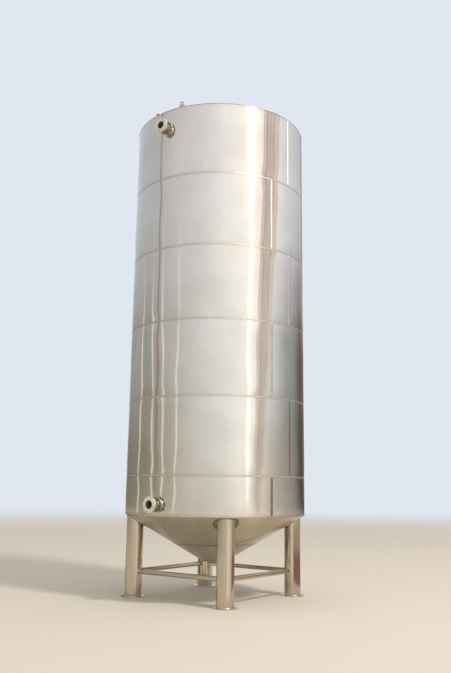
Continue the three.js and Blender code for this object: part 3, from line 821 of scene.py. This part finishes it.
# The pads' dark colour is painted shade, under the cone and round the nozzles.
shaded_pad_steel = stainless("satin_stainless_pad_painted_shade", "#A1977F", "#8C826C", 0.34, 4, 120)
slope_radii = np.linspace(CONE_EDGE_RADIUS, CONE_WELD_RADIUS, UPPER_CONE_POINTS)[1:]
outside, inside = [
    np.concatenate([
        [(SHELL_RADIUS - depth, HEAD_TOP)], knuckle(KNUCKLE_RADIUS - depth),
        np.stack([slope_radii, cone_height(slope_radii) + depth * CONE_STRETCH], 1),
    ])
    for depth in (0.0, SHELL_WALL)
]
upper = np.concatenate([outside, inside[::-1], outside[:1]])[:, None] + 0 * FINE_TURN[:, None]
upper[..., 1] += cone_dents(upper[..., 0], FINE_TURN)
low_radii = np.linspace(CONE_WELD_RADIUS - WELD_GAP, CONE_TIP_RADIUS, LOWER_CONE_POINTS)
outside, inside = [
    np.stack([low_radii, cone_height(low_radii) + depth], 1)
    for depth in (0.0, SHELL_WALL * CONE_STRETCH)
]
lower = np.concatenate([outside, inside[::-1], outside[:1]])
world_axes = about((0, 0, 0), (0, 0, 1))
for node, section in (("bottom_cone_upper", upper), ("bottom_cone_lower", lower)):
    sheet = turned(section, world_axes, FINE_TURN)
    cone = make_mesh(f"{node}_plate", [sheet], from_cone_welds(sheet[0]))
    fit(cone, cone_plate, "head_steel", node)
tip_top = cone_height(CONE_TIP_RADIUS) - WELD_GAP
tip_low = tip_top - TIP_PLATE_THICK
tip_corners = box_profile(PIPE_RADIUS + WELD_GAP, TIP_PLATE_RADIUS, tip_low, tip_top)
tip_plate = turned_piece("bottom_tip_disc", tip_corners, CUT_EDGE, world_axes)
tip_plate_steel = stainless("satin_stainless_disc", "#CFC8BA", "#BDB5A5", 0.3, 4, 150)
fit(tip_plate, tip_plate_steel, "head_steel", "bottom_tip_plate")

cone_welds = [
    bead(*ring(radius, cone_height(radius), steps, slope), size)
    for radius, steps, slope, size in (
        (CONE_WELD_RADIUS, 360, -2.0, CONE_WELD), (TIP_PLATE_RADIUS, 180, -0.3, TIP_WELD),
    )
]
for half in (0, math.pi):
    part = np.linspace(0, CONE_SEAM_TURN, CONE_SEAM_STEPS)
    radius = CONE_SEAM_RADIUS / np.cos(part / CONE_STRETCH)
    turn = CONE_SEAM_SIDE + half + part
    path = polar(radius, turn, cone_height(radius) + cone_dents(radius, turn))
    cone_welds.append(bead(path, polar(CONE_SLOPE, turn, -1), CONE_WELD, closed=False))
# The cone's welds are painted dark, partly as shade.
fit(make_mesh("bottom_cone_welds", cone_welds), stained_and_shaded_weld, "head_steel")

# Legs. Four polished pipes of 273 mm stand on round base plates, and are cut on top to fit under
# round pads that are rolled to the cone. Everything is fillet-welded all round, and four lighter
# pipes, cut round at their ends, brace each leg to the next.
LEG_REACH = 1.327
LEG_RADIUS = 0.1365
LEG_WALL = 0.006
BASE_PLATE_RADIUS = 0.195
BASE_PLATE_THICK = 0.015
LEG_PAD_RADIUS = 0.198
LEG_PAD_THICK = 0.006
LEG_PAD_OUTER_REACH = 1.48
BRACE_HEIGHT = 0.405
BRACE_RADIUS = 0.038
BRACE_WALL = 0.003
LEG_WELD = (0.013, 0.0045)
LEG_WELD_LEAN = (0.25, 0, -0.6)
PAD_WELD = (0.009, 0.003)
PAD_WELD_LEAN = (0.4, 0, -0.9)
BRACE_WELD = (0.009, 0.003)
LEG_SIDES = {"front": -90, "right": 0, "back": 90, "left": 180}


def beside(side, reach):
    """A function from coordinates on an upright axis, that stands at a side and distance of the
    tank's and whose first axis points away from it, to the world's."""
    cos_side, sin_side = math.cos(side), math.sin(side)
    base = np.array([(cos_side, sin_side, 0), (-sin_side, cos_side, 0), (0, 0, 1)])
    return lambda points: (points + (reach, 0, 0)) @ base


def directed(place, directions):
    """Directions in a place's coordinates as the world's."""
    return place(directions) - place(np.zeros(3))


def corners_round(pairs, turn=FULL_TURN):
    """A section's corners at each turn. Each is a radius and a height, which may change on the
    way round."""
    return np.stack([np.stack(np.broadcast_arrays(*pair, turn)[:2], -1) for pair in pairs])


def round_path(place, radius, height):
    """A ring round a place's third axis, whose radius and height may change on the way."""
    return place(polar(radius, weld_turn, height))


def under_cone(x, y, depth):
    """Height at a depth below the cone, at a place given from a leg's axis."""
    return cone_height(np.hypot(LEG_REACH + x, y)) - depth * CONE_STRETCH


def leg_top(radius, turn):
    """Height of a leg's end, close under the pad, at a distance from the leg's axis."""
    return under_cone(*polar(radius, turn).T, LEG_PAD_THICK + 2 * WELD_GAP)


# The pipes' colour carries painted sheen streaks, 16 mm wide, along their length.
polished_pipe = stainless(
    "polished_stainless_pipe", "#CFC6B6", "#C0B5A3", 0.14, 3, 300, 0.4, sheen_streak_mm=16,
)
base_steel = stainless("satin_stainless_base_plate", "#D3C9B7", "#BFB4A0", 0.28, 4, 120)
foot = BASE_PLATE_THICK + WELD_GAP
leg_inside = LEG_RADIUS - LEG_WALL
leg_corners = corners_round((
    (LEG_RADIUS, foot), (LEG_RADIUS, leg_top(LEG_RADIUS, FULL_TURN)),
    (leg_inside, leg_top(leg_inside, FULL_TURN)), (leg_inside, foot),
))
axis_x, axis_y = polar(LEG_REACH, FULL_TURN).T
pad_edge = np.minimum(LEG_PAD_RADIUS, np.sqrt(LEG_PAD_OUTER_REACH ** 2 - axis_y ** 2) - axis_x)
pad_back = WELD_GAP + LEG_PAD_THICK
pad_corners = corners_round((
    (0, WELD_GAP), (pad_edge, WELD_GAP), (pad_edge, pad_back), (0, pad_back),
))
base_corners = box_profile(0, BASE_PLATE_RADIUS, 0, BASE_PLATE_THICK)
weld_turn = FULL_TURN[:-1]
weld_out = polar(1, weld_turn, 0)
for name, side_deg in LEG_SIDES.items():
    place = beside(math.radians(side_deg), LEG_REACH)

    def place_pad(points):
        """The third coordinate is a depth below the cone."""
        x, y, depth = np.moveaxis(points, -1, 0)
        return place(np.stack([x, y, under_cone(x, y, depth)], -1))

    leg = turned_piece(f"leg_pipe_{name}", leg_corners, CUT_EDGE, place)
    fit(leg, polished_pipe, "leg_steel", f"leg_{name}")
    pad = turned_piece(f"pad_{name}", pad_corners, (0, CUT_EDGE, CUT_EDGE, 0), place_pad)
    fit(pad, shaded_pad_steel, "head_steel", f"leg_pad_{name}")
    foot_disc = turned_piece(f"foot_{name}", base_corners, (0, CUT_EDGE, 2 * CUT_EDGE, 0), place)
    fit(foot_disc, base_steel, "leg_steel", f"base_plate_{name}")

    top = leg_top(LEG_RADIUS, weld_turn)
    fit(make_mesh(f"leg_welds_{name}", [
        bead(round_path(place, LEG_RADIUS, height), directed(place, weld_out + lean), LEG_WELD)
        for height, lean in ((top, LEG_WELD_LEAN), (BASE_PLATE_THICK, (0, 0, 1)))
    ]), weld_metal, "leg_steel")
    # The pad's weld is painted dark as shade round the pad's edge.
    rim = round_path(place_pad, pad_edge[:-1], WELD_GAP)
    pad_weld = bead(rim, directed(place, weld_out + PAD_WELD_LEAN), PAD_WELD)
    fit(make_mesh(f"pad_weld_{name}", [pad_weld]), stained_and_shaded_weld, "head_steel")

apart = LEG_REACH * math.sqrt(2)
for first, second in zip(LEG_SIDES, [*LEG_SIDES][1:] + [*LEG_SIDES][:1]):
    start, end = [
        beside(math.radians(LEG_SIDES[leg]), LEG_REACH)(np.zeros(3)) for leg in (first, second)
    ]
    place = about((start + end) / 2 + (0, 0, BRACE_HEIGHT), (end - start) / apart)

    def brace_end(radius, turn):
        """Half the brace's length where it meets the round legs, at a turn round its own axis."""
        return apart / 2 - np.sqrt((LEG_RADIUS + WELD_GAP) ** 2 - (radius * np.cos(turn)) ** 2)

    inner = BRACE_RADIUS - BRACE_WALL
    brace_corners = corners_round([
        (radius, sign * brace_end(radius, FULL_TURN))
        for radius, sign in ((inner, -1), (BRACE_RADIUS, -1), (BRACE_RADIUS, 1), (inner, 1))
    ])
    brace = turned_piece(f"brace_pipe_{first}_{second}", brace_corners, CUT_EDGE / 2, place)
    fit(brace, polished_pipe, "leg_steel", f"brace_{first}_{second}")
    fit(make_mesh(f"brace_welds_{first}_{second}", [
        bead(round_path(place, BRACE_RADIUS, sign * brace_end(BRACE_RADIUS, weld_turn)),
             directed(place, weld_out + (0, 0, -sign)), BRACE_WELD)
        for sign in (-1, 1)
    ]), weld_metal, "leg_steel")

# Nozzles. Two pipes of 139.7 mm leave the shell one above the other, through reinforcing pads that
# are rolled to it, and end in turned welding-neck flanges with eight bolt holes and a raised face.
# The outlet under the tip is the same, facing down.
NOZZLE_PAD_THICK = 0.006
PIPE_WALL = 0.004
BORE_RADIUS = PIPE_RADIUS - PIPE_WALL
PIPE_EDGE = 0.0008
PIPE_INSIDE = 0.015
FLANGE_REACH = 1.65
FLANGE_THICK = 0.022
HUB_END = 0.052
PIPE_FLANGE = {
    "bore": BORE_RADIUS, "pipe": PIPE_RADIUS, "hub": 0.084, "rim": 0.125, "thick": FLANGE_THICK,
    "length": HUB_END, "raised": 0.091, "circle": 0.105, "hole": 0.011, "holes": 8,
}
OUTLET_FACE = 0.5
PIPE_WELD = (0.008, 0.0025)
NECK_WELD = (0.009, 0.0014)
PIPE_RING_STEPS = 96
FLANGE_SHADED_BACK = 0.0132
BORE_FINISH_MARGIN = 0.0002


def round_lay(reach):
    """The lay of a face whose polishing lines run round its middle: the distance from that, and
    the arc at a reach from it."""
    def lay(points):
        turn = np.abs(np.arctan2(points[:, 1], points[:, 0]))
        return np.stack([np.linalg.norm(points, axis=1), reach * turn], 1)

    return lay


def flange(name, place, bore, pipe, hub, rim, thick, length, raised, circle, hole, holes):
    """A flange whose face is at zero and whose back is below it. Its front steps down beyond the
    raised radius, its back is level as far in as the hub, which slopes to the pipe and its end, and
    its outer edges are quarter rounds. The bolt holes go through."""
    step, edge, crisp, spokes, half_block = 0.0016, 0.0015, 0.0004, 12, 4
    angles = np.linspace(0, 2 * math.pi, holes * spokes + 1)
    clear = hole + 0.001
    radii = np.sort([
        bore, pipe, hub, hub + crisp, raised, raised + crisp,
        circle - clear, circle - hole / 2, circle, circle + hole / 2, circle + clear,
        *(rim - edge * np.array([1.6, 1, 0.6, 0.29, 0.08, 0])),
    ])
    grid = polar(radii[:, None], angles)
    rows = [int(np.argmin(np.abs(radii - bound))) for bound in (circle - clear, circle + clear)]
    bolt_holes = []
    for middle in range(spokes // 2, holes * spokes, spokes):
        centre = polar(circle, angles[middle])
        bolt_holes.append((*rows, middle - half_block, middle + half_block, centre, hole))
    flat, quads = blank(grid, bolt_holes)

    def at(points, depth):
        radius = np.linalg.norm(points, axis=1)
        past = np.clip(radius - (rim - edge), 0, edge)
        drop = edge - np.sqrt(edge ** 2 - past ** 2)
        front = np.interp(radius, [raised, raised + crisp], [0, -step]) - drop
        back = np.interp(radius, [pipe, hub], [-length, -thick]) + drop
        return place(np.column_stack([points, back if depth else front]))

    return make_mesh(name, [plate(flat, quads, at, thick, round_lay(rim))])


def refinish(piece, origin, direction, radius, back=0.0):
    """Gives the faces nearer to an axis than a radius the dull finish inside a pipe, whose darker
    colour is partly painted shade in the bore, and those that lie along it no further out than
    back the darker colour of drawn pipe, a painted shade on a flange's back and hub."""
    centres = np.empty(3 * len(piece.data.polygons))
    piece.data.polygons.foreach_get("center", centres)
    centres = centres.reshape(-1, 3) - origin
    off_axis = np.linalg.norm(np.cross(centres, direction), axis=1)
    piece.data.materials.append(shaded_pipe_inside)
    piece.data.materials.append(drawn_pipe)
    finish = np.where(off_axis < radius, 1, np.where(centres @ direction < back, 2, 0))
    piece.data.polygons.foreach_set("material_index", finish.astype(np.int32))


turned_steel = stainless("turned_stainless_flange", "#F3F1EC", "#E6E3DC", 0.52, 3, 120, 0.3)
drawn_pipe = stainless("drawn_stainless_pipe", "#D4CBB8", "#BFB5A1", 0.28, 3, 120)
# Dull inside finish, with its colour darkened as painted shade in the bore.
shaded_pipe_inside = stainless("dull_inside_of_stainless_pipe_painted_shade", "#BCB6A4", "#A29B88", 0.7, 3, 60)
nozzle_direction = polar(1, NOZZLE_SIDE, 0)
neck_corners = box_profile(
    BORE_RADIUS, PIPE_RADIUS,
    SHELL_RADIUS - SHELL_WALL - PIPE_INSIDE, FLANGE_REACH - HUB_END - WELD_GAP,
)
pad_section = box_profile(
    PIPE_RADIUS + WELD_GAP, NOZZLE_PAD_RADIUS, WELD_GAP, WELD_GAP + NOZZLE_PAD_THICK,
)
pad_edges = (CUT_EDGE, CUT_EDGE, 1.5 * CUT_EDGE, CUT_EDGE)
for name, height in zip(("upper_nozzle", "lower_nozzle"), NOZZLE_HEIGHTS.values()):
    place = about((0, 0, height), nozzle_direction)
    neck = turned_piece(f"{name}_pipe", neck_corners, PIPE_EDGE, place)
    fit(neck, drawn_pipe, "fitting_steel", f"{name}_neck")
    refinish(neck, (0, 0, height), nozzle_direction, PIPE_RADIUS - PIPE_WALL / 2)
    face = about((0, 0, height) + FLANGE_REACH * nozzle_direction, nozzle_direction)
    neck_flange = flange(f"{name}_turned_flange", face, **PIPE_FLANGE)
    fit(neck_flange, turned_steel, "fitting_steel", f"{name}_flange")
    # The bore and the flange's back and hub take darker colours as painted shade.
    in_bore, back = BORE_RADIUS + BORE_FINISH_MARGIN, FLANGE_REACH - FLANGE_SHADED_BACK
    refinish(neck_flange, (0, 0, height), nozzle_direction, in_bore, back)

    def on_shell(points):
        """The third coordinate is a height above the shell, whose roundness the points follow."""
        x, y, rise = np.moveaxis(points, -1, 0)
        return place(np.stack([x, y, np.sqrt((SHELL_RADIUS + rise) ** 2 - x ** 2)], -1))

    pad = turned_piece(f"{name}_rolled_pad", pad_section, pad_edges, on_shell)
    fit(pad, shaded_pad_steel, "fitting_steel", f"{name}_pad")
    fit(make_mesh(f"{name}_welds", [
        bead(round_path(put, radius, rise), directed(place, weld_out + (0, 0, lean)), size)
        for put, radius, rise, lean, size in (
            (on_shell, NOZZLE_PAD_RADIUS, 0.0, 1, PIPE_WELD),
            (on_shell, PIPE_RADIUS, NOZZLE_PAD_THICK, 1, PIPE_WELD),
            (place, PIPE_RADIUS, FLANGE_REACH - HUB_END, 0, NECK_WELD),
        )
    ]), weld_metal, "fitting_steel")

down = about((0, 0, OUTLET_FACE), (0, 0, -1))
outlet_corners = box_profile(
    BORE_RADIUS, PIPE_RADIUS,
    OUTLET_FACE + HUB_END + WELD_GAP, cone_height(CONE_TIP_RADIUS) + PIPE_INSIDE,
)
outlet = turned_piece("outlet_pipe", outlet_corners, PIPE_EDGE, world_axes)
fit(outlet, drawn_pipe, "fitting_steel", "outlet_neck")
outlet_flange = flange("outlet_turned_flange", down, **PIPE_FLANGE)
fit(outlet_flange, turned_steel, "fitting_steel", "outlet_flange")
fit(make_mesh("outlet_welds", [
    bead(*ring(PIPE_RADIUS, tip_low, PIPE_RING_STEPS, slope=-1), PIPE_WELD),
    bead(*ring(PIPE_RADIUS, OUTLET_FACE + HUB_END, PIPE_RING_STEPS), NECK_WELD),
]), weld_metal, "fitting_steel")

# Roof. A shallow cone of 4 mm plate lies on the shell's edge, in four sheets that are welded along
# radial seams. Its waves are a little deeper than the shell's, as on any thin roof.
ROOF_PITCH = math.radians(15)
ROOF_SLOPE = math.tan(ROOF_PITCH)
ROOF_STRETCH = 1 / math.cos(ROOF_PITCH)
ROOF_WALL = 0.004
ROOF_WAVE = 0.0009
ROOF_WAVE_FADE = 0.2
ROOF_SEAMS_DEG = (-25, 55, 155, -115)
MANWAY_SIDE = math.radians(100)
MANWAY_REACH = 0.88
MANWAY_RADIUS = 0.254
EDGE_SIDE = math.radians(-148)
EDGE_REACH = 1.38
EDGE_PIPE = 0.03
VENT_PIPE = 0.057
ROOF_SEAM_REACH = (VENT_PIPE + 0.02, SHELL_RADIUS - 0.006)
ROOF_STEP_DEG = 2
ROOF_RADIUS_STEP = 0.06
ROOF_EDGE_STEP = 0.002
MANWAY_BLOCK = ((0.58, 1.18), (76, 124))
EDGE_BLOCK = ((1.32, 1.44), (208, 216))


def roof_top(radius):
    """Height of the roof's upper surface at a distance from the tank's axis."""
    rise = (SHELL_RADIUS - radius) * ROOF_SLOPE
    return ROOF_EDGE_HEIGHT + WELD_GAP + rise + ROOF_WALL * ROOF_STRETCH


def roof_dents(points):
    """Low waves in the roof sheets, none near the rim and the vent: two crossing sines."""
    radius = np.linalg.norm(points, axis=-1)
    from_rim, from_vent = SHELL_RADIUS - radius, radius - VENT_PIPE
    clear = ease(from_rim / ROOF_WAVE_FADE) * ease(from_vent / ROOF_WAVE_FADE)
    x, y = points[..., 0], points[..., 1]
    return ROOF_WAVE * clear * (np.sin(9 * x + 4 * y) + np.sin(11 * y - 5 * x + 2))


def roof_hole(block, centre, radius):
    """A hole that takes the place of a block of the roof's grid, from a radius to a radius and
    from a turn to a turn, in degrees."""
    rows = [int(np.argmin(np.abs(roof_radii - stop))) for stop in block[0]]
    return (*rows, *(turn // ROOF_STEP_DEG for turn in block[1]), centre, radius + WELD_GAP)


def on_roof(points, depth):
    """Roof points over plane ones, at a depth in the plate."""
    height = roof_top(np.linalg.norm(points, axis=1)) + roof_dents(points) - depth * ROOF_STRETCH
    return np.column_stack([points, height])


roof_radii = lines([
    VENT_PIPE + WELD_GAP, *MANWAY_BLOCK[0], *EDGE_BLOCK[0],
    SHELL_RADIUS - ROOF_EDGE_STEP, SHELL_RADIUS,
], ROOF_RADIUS_STEP)
roof_turns = np.radians(np.arange(0, 361, ROOF_STEP_DEG))
manway_centre = polar(MANWAY_REACH, MANWAY_SIDE)
edge_centre = polar(EDGE_REACH, EDGE_SIDE)
flat, quads = blank(polar(roof_radii[:, None], roof_turns), [
    roof_hole(MANWAY_BLOCK, manway_centre, MANWAY_RADIUS),
    roof_hole(EDGE_BLOCK, edge_centre, EDGE_PIPE),
])

roof_plate = stainless("rolled_stainless_roof_plate", "#D4D2CD", "#C5C3BE", 0.3, 5, 500, 0.4)
roof_sheets = make_mesh("roof_sheets", [plate(flat, quads, on_roof, ROOF_WALL, round_lay(1.0))])
fit(roof_sheets, roof_plate, "shell_steel", "roof")
roof_seams = []
for seam_deg in ROOF_SEAMS_DEG:
    turn = math.radians(seam_deg)
    reach = np.linspace(*ROOF_SEAM_REACH, SEAM_STEPS)
    outward = polar(ROOF_SLOPE + 0 * reach, turn, 1)
    roof_seams.append(bead(on_roof(polar(reach, turn), 0.0), outward, CONE_WELD, closed=False))
fit(make_mesh("roof_seam_welds", roof_seams), weld_metal, "shell_steel")

# Roof fittings. A round manway, whose flat cover is held down by six turned knobs and lifted by a
# bent rod, stands beside a flanged centre vent, and a small flanged nozzle stands near the edge.
MANWAY_WALL = 0.005
MANWAY_RISE = 0.15
MANWAY_DROP = 0.09
COVER_RADIUS = 0.285
COVER_THICK = 0.008
KNOB_CIRCLE = 0.269
KNOB_CORNERS = (
    (0, -0.001), (0.012, -0.001), (0.012, 0.009), (0.015, 0.013), (0.015, 0.026), (0, 0.034),
)
KNOB_EDGES = (0, 0.001, 0.001, 0.002, 0.004, 0)
HANDLE_HALF_LENGTH = 0.07
HANDLE_HEIGHT = 0.05
HANDLE_ROD = 0.006
HANDLE_SINK = 0.004
HANDLE_FULLNESS = 0.6
HANDLE_STEPS = 40
ROOF_FITTING_WELD = (0.012, 0.004)
VENT_FLANGE = {
    "bore": 0.053, "pipe": VENT_PIPE, "hub": VENT_PIPE + 0.0005, "rim": 0.11, "thick": 0.02,
    "raised": 0.072, "circle": 0.09, "hole": 0.009, "holes": 8,
}
EDGE_FLANGE = {
    "bore": 0.027, "pipe": EDGE_PIPE, "hub": EDGE_PIPE + 0.0005, "rim": 0.0575, "thick": 0.016,
    "raised": 0.034, "circle": 0.0435, "hole": 0.006, "holes": 4,
}

manway_axis = about((*manway_centre, 0), (0, 0, 1))
roof_at_manway = roof_top(MANWAY_REACH)
manway_corners = box_profile(
    MANWAY_RADIUS - MANWAY_WALL, MANWAY_RADIUS,
    roof_at_manway - ROOF_WALL * ROOF_STRETCH - MANWAY_DROP, roof_at_manway + MANWAY_RISE,
)
manway = turned_piece("manway_ring", manway_corners, CUT_EDGE, manway_axis)
fit(manway, drawn_pipe, "fitting_steel", "manway_neck")
cover_low = roof_at_manway + MANWAY_RISE + WELD_GAP
cover_top = cover_low + COVER_THICK
cover_corners = box_profile(0, COVER_RADIUS, cover_low, cover_top)
cover = turned_piece("manway_lid", cover_corners, (0, 2 * CUT_EDGE, 2 * CUT_EDGE, 0), manway_axis)
fit(cover, base_steel, "fitting_steel", "manway_cover")
knob_profile = rounded(np.array(KNOB_CORNERS), KNOB_EDGES)
knobs = []
for knob_turn in np.radians(np.arange(0, 360, 60)):
    centre = manway_centre + polar(KNOB_CIRCLE, knob_turn)
    stand = about((*centre, cover_top), (0, 0, 1))
    knobs.append(turned(knob_profile, stand, FULL_TURN[::4]))
fit(make_mesh("manway_cover_knobs", knobs), turned_steel, "fitting_steel")
half_bow = np.linspace(0, math.pi, HANDLE_STEPS)
bow = np.abs(np.sin(half_bow)) ** HANDLE_FULLNESS
rod_path = np.column_stack([
    manway_centre[0] - HANDLE_HALF_LENGTH * np.cos(half_bow), 0 * bow + manway_centre[1],
    cover_top - HANDLE_SINK + HANDLE_HEIGHT * bow,
])
sideways = np.tile((0.0, 1.0, 0.0), (HANDLE_STEPS, 1))
rod = bead(rod_path, sideways, (2 * HANDLE_ROD, HANDLE_ROD), closed=False, uneven=0)
fit(make_mesh("manway_cover_handle", [rod]), drawn_pipe, "fitting_steel")
# The edge nozzle's flange is painted cream-yellow as a warm highlight.
warm_highlight_steel = stainless("stainless_flange_painted_warm_highlight", "#F7E4BC", "#EBD5A8", 0.45, 3, 60)
for name, node, centre, sizes, steel in (
    ("vent", "roof_vent", (0, 0), VENT_FLANGE, turned_steel),
    ("edge_nozzle", "roof_edge_nozzle", edge_centre, EDGE_FLANGE, warm_highlight_steel),
):
    low, high = [corner.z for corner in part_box(node)]
    stand = about((*centre, high), (0, 0, 1))
    neck_flange = flange(f"{name}_turned_flange", stand, length=high - low, **sizes)
    fit(neck_flange, steel, "fitting_steel", node)
fitting_welds = []
for centre, radius in (
    ((0, 0), VENT_PIPE), (manway_centre, MANWAY_RADIUS), (edge_centre, EDGE_PIPE),
):
    path = on_roof(polar(radius, weld_turn) + centre, 0.0)
    fitting_welds.append(bead(path, weld_out + (0, 0, 1), ROOF_FITTING_WELD))
fit(make_mesh("roof_fitting_welds", fitting_welds), weld_metal, "fitting_steel")

# Lifting lugs. Two plates with a round head and an eye stand on the roof's edge, opposite each
# other, and are fillet-welded on both sides.
LUG_SIDE = math.radians(-123.9)
LUG_REACH = 1.465
LUG_HALF_THICK = 0.007
LUG_HALF_BASE = 0.05
LUG_HEIGHT = 0.106
LUG_HEAD_RADIUS = 0.037
LUG_EYE_RADIUS = 0.017
LUG_EDGE = 0.0012
LUG_STEP = math.radians(5)
LUG_WELD = (0.01, 0.004)
LUG_WELD_STEPS = 24

head_rise = LUG_HEIGHT - LUG_HEAD_RADIUS
to_corner = math.atan2(-head_rise, LUG_HALF_BASE)
touch = to_corner + math.acos(LUG_HEAD_RADIUS / math.hypot(LUG_HALF_BASE, head_rise))
half_turn = lines([-math.pi / 2, to_corner, touch, math.pi / 2], LUG_STEP)
head = np.full_like(half_turn, LUG_HEAD_RADIUS)
flank = LUG_HEAD_RADIUS / np.cos(half_turn - touch)
base = head_rise / np.maximum(-np.sin(half_turn), 1e-9)
outline = np.where(half_turn < to_corner - 1e-9, base, np.where(half_turn < touch, flank, head))
lug_turn = np.concatenate([half_turn, math.pi - half_turn[-2::-1]])
lug_edge = np.concatenate([outline, outline[-2::-1]])
lug_corners = corners_round((
    (LUG_EYE_RADIUS, -LUG_HALF_THICK), (lug_edge, -LUG_HALF_THICK),
    (lug_edge, LUG_HALF_THICK), (LUG_EYE_RADIUS, LUG_HALF_THICK),
), lug_turn)
for name, side in (("front", LUG_SIDE), ("back", LUG_SIDE + math.pi)):
    direction = polar(1, side, 0)
    foot_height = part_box(f"lifting_lug_{name}")[0].z
    eye = about(LUG_REACH * direction + (0, 0, foot_height + head_rise), direction)
    lug = turned_piece(f"lug_plate_{name}", lug_corners, LUG_EDGE, eye, lug_turn)
    fit(lug, drawn_pipe, "fitting_steel", f"lifting_lug_{name}")
    place = about(LUG_REACH * direction + (0, 0, foot_height), direction)
    spread = np.linspace(-LUG_HALF_BASE, LUG_HALF_BASE, LUG_WELD_STEPS)
    lug_welds = []
    for sign, drop in ((-1, 0.001), (1, 0.003)):
        foot_line = [spread, 0 * spread - drop, 0 * spread + sign * LUG_HALF_THICK]
        outward = np.tile(sign * direction + (0, 0, 1), (LUG_WELD_STEPS, 1))
        lug_welds.append(bead(place(np.column_stack(foot_line)), outward, LUG_WELD, closed=False))
    fit(make_mesh(f"lug_welds_{name}", lug_welds), weld_metal, "fitting_steel")
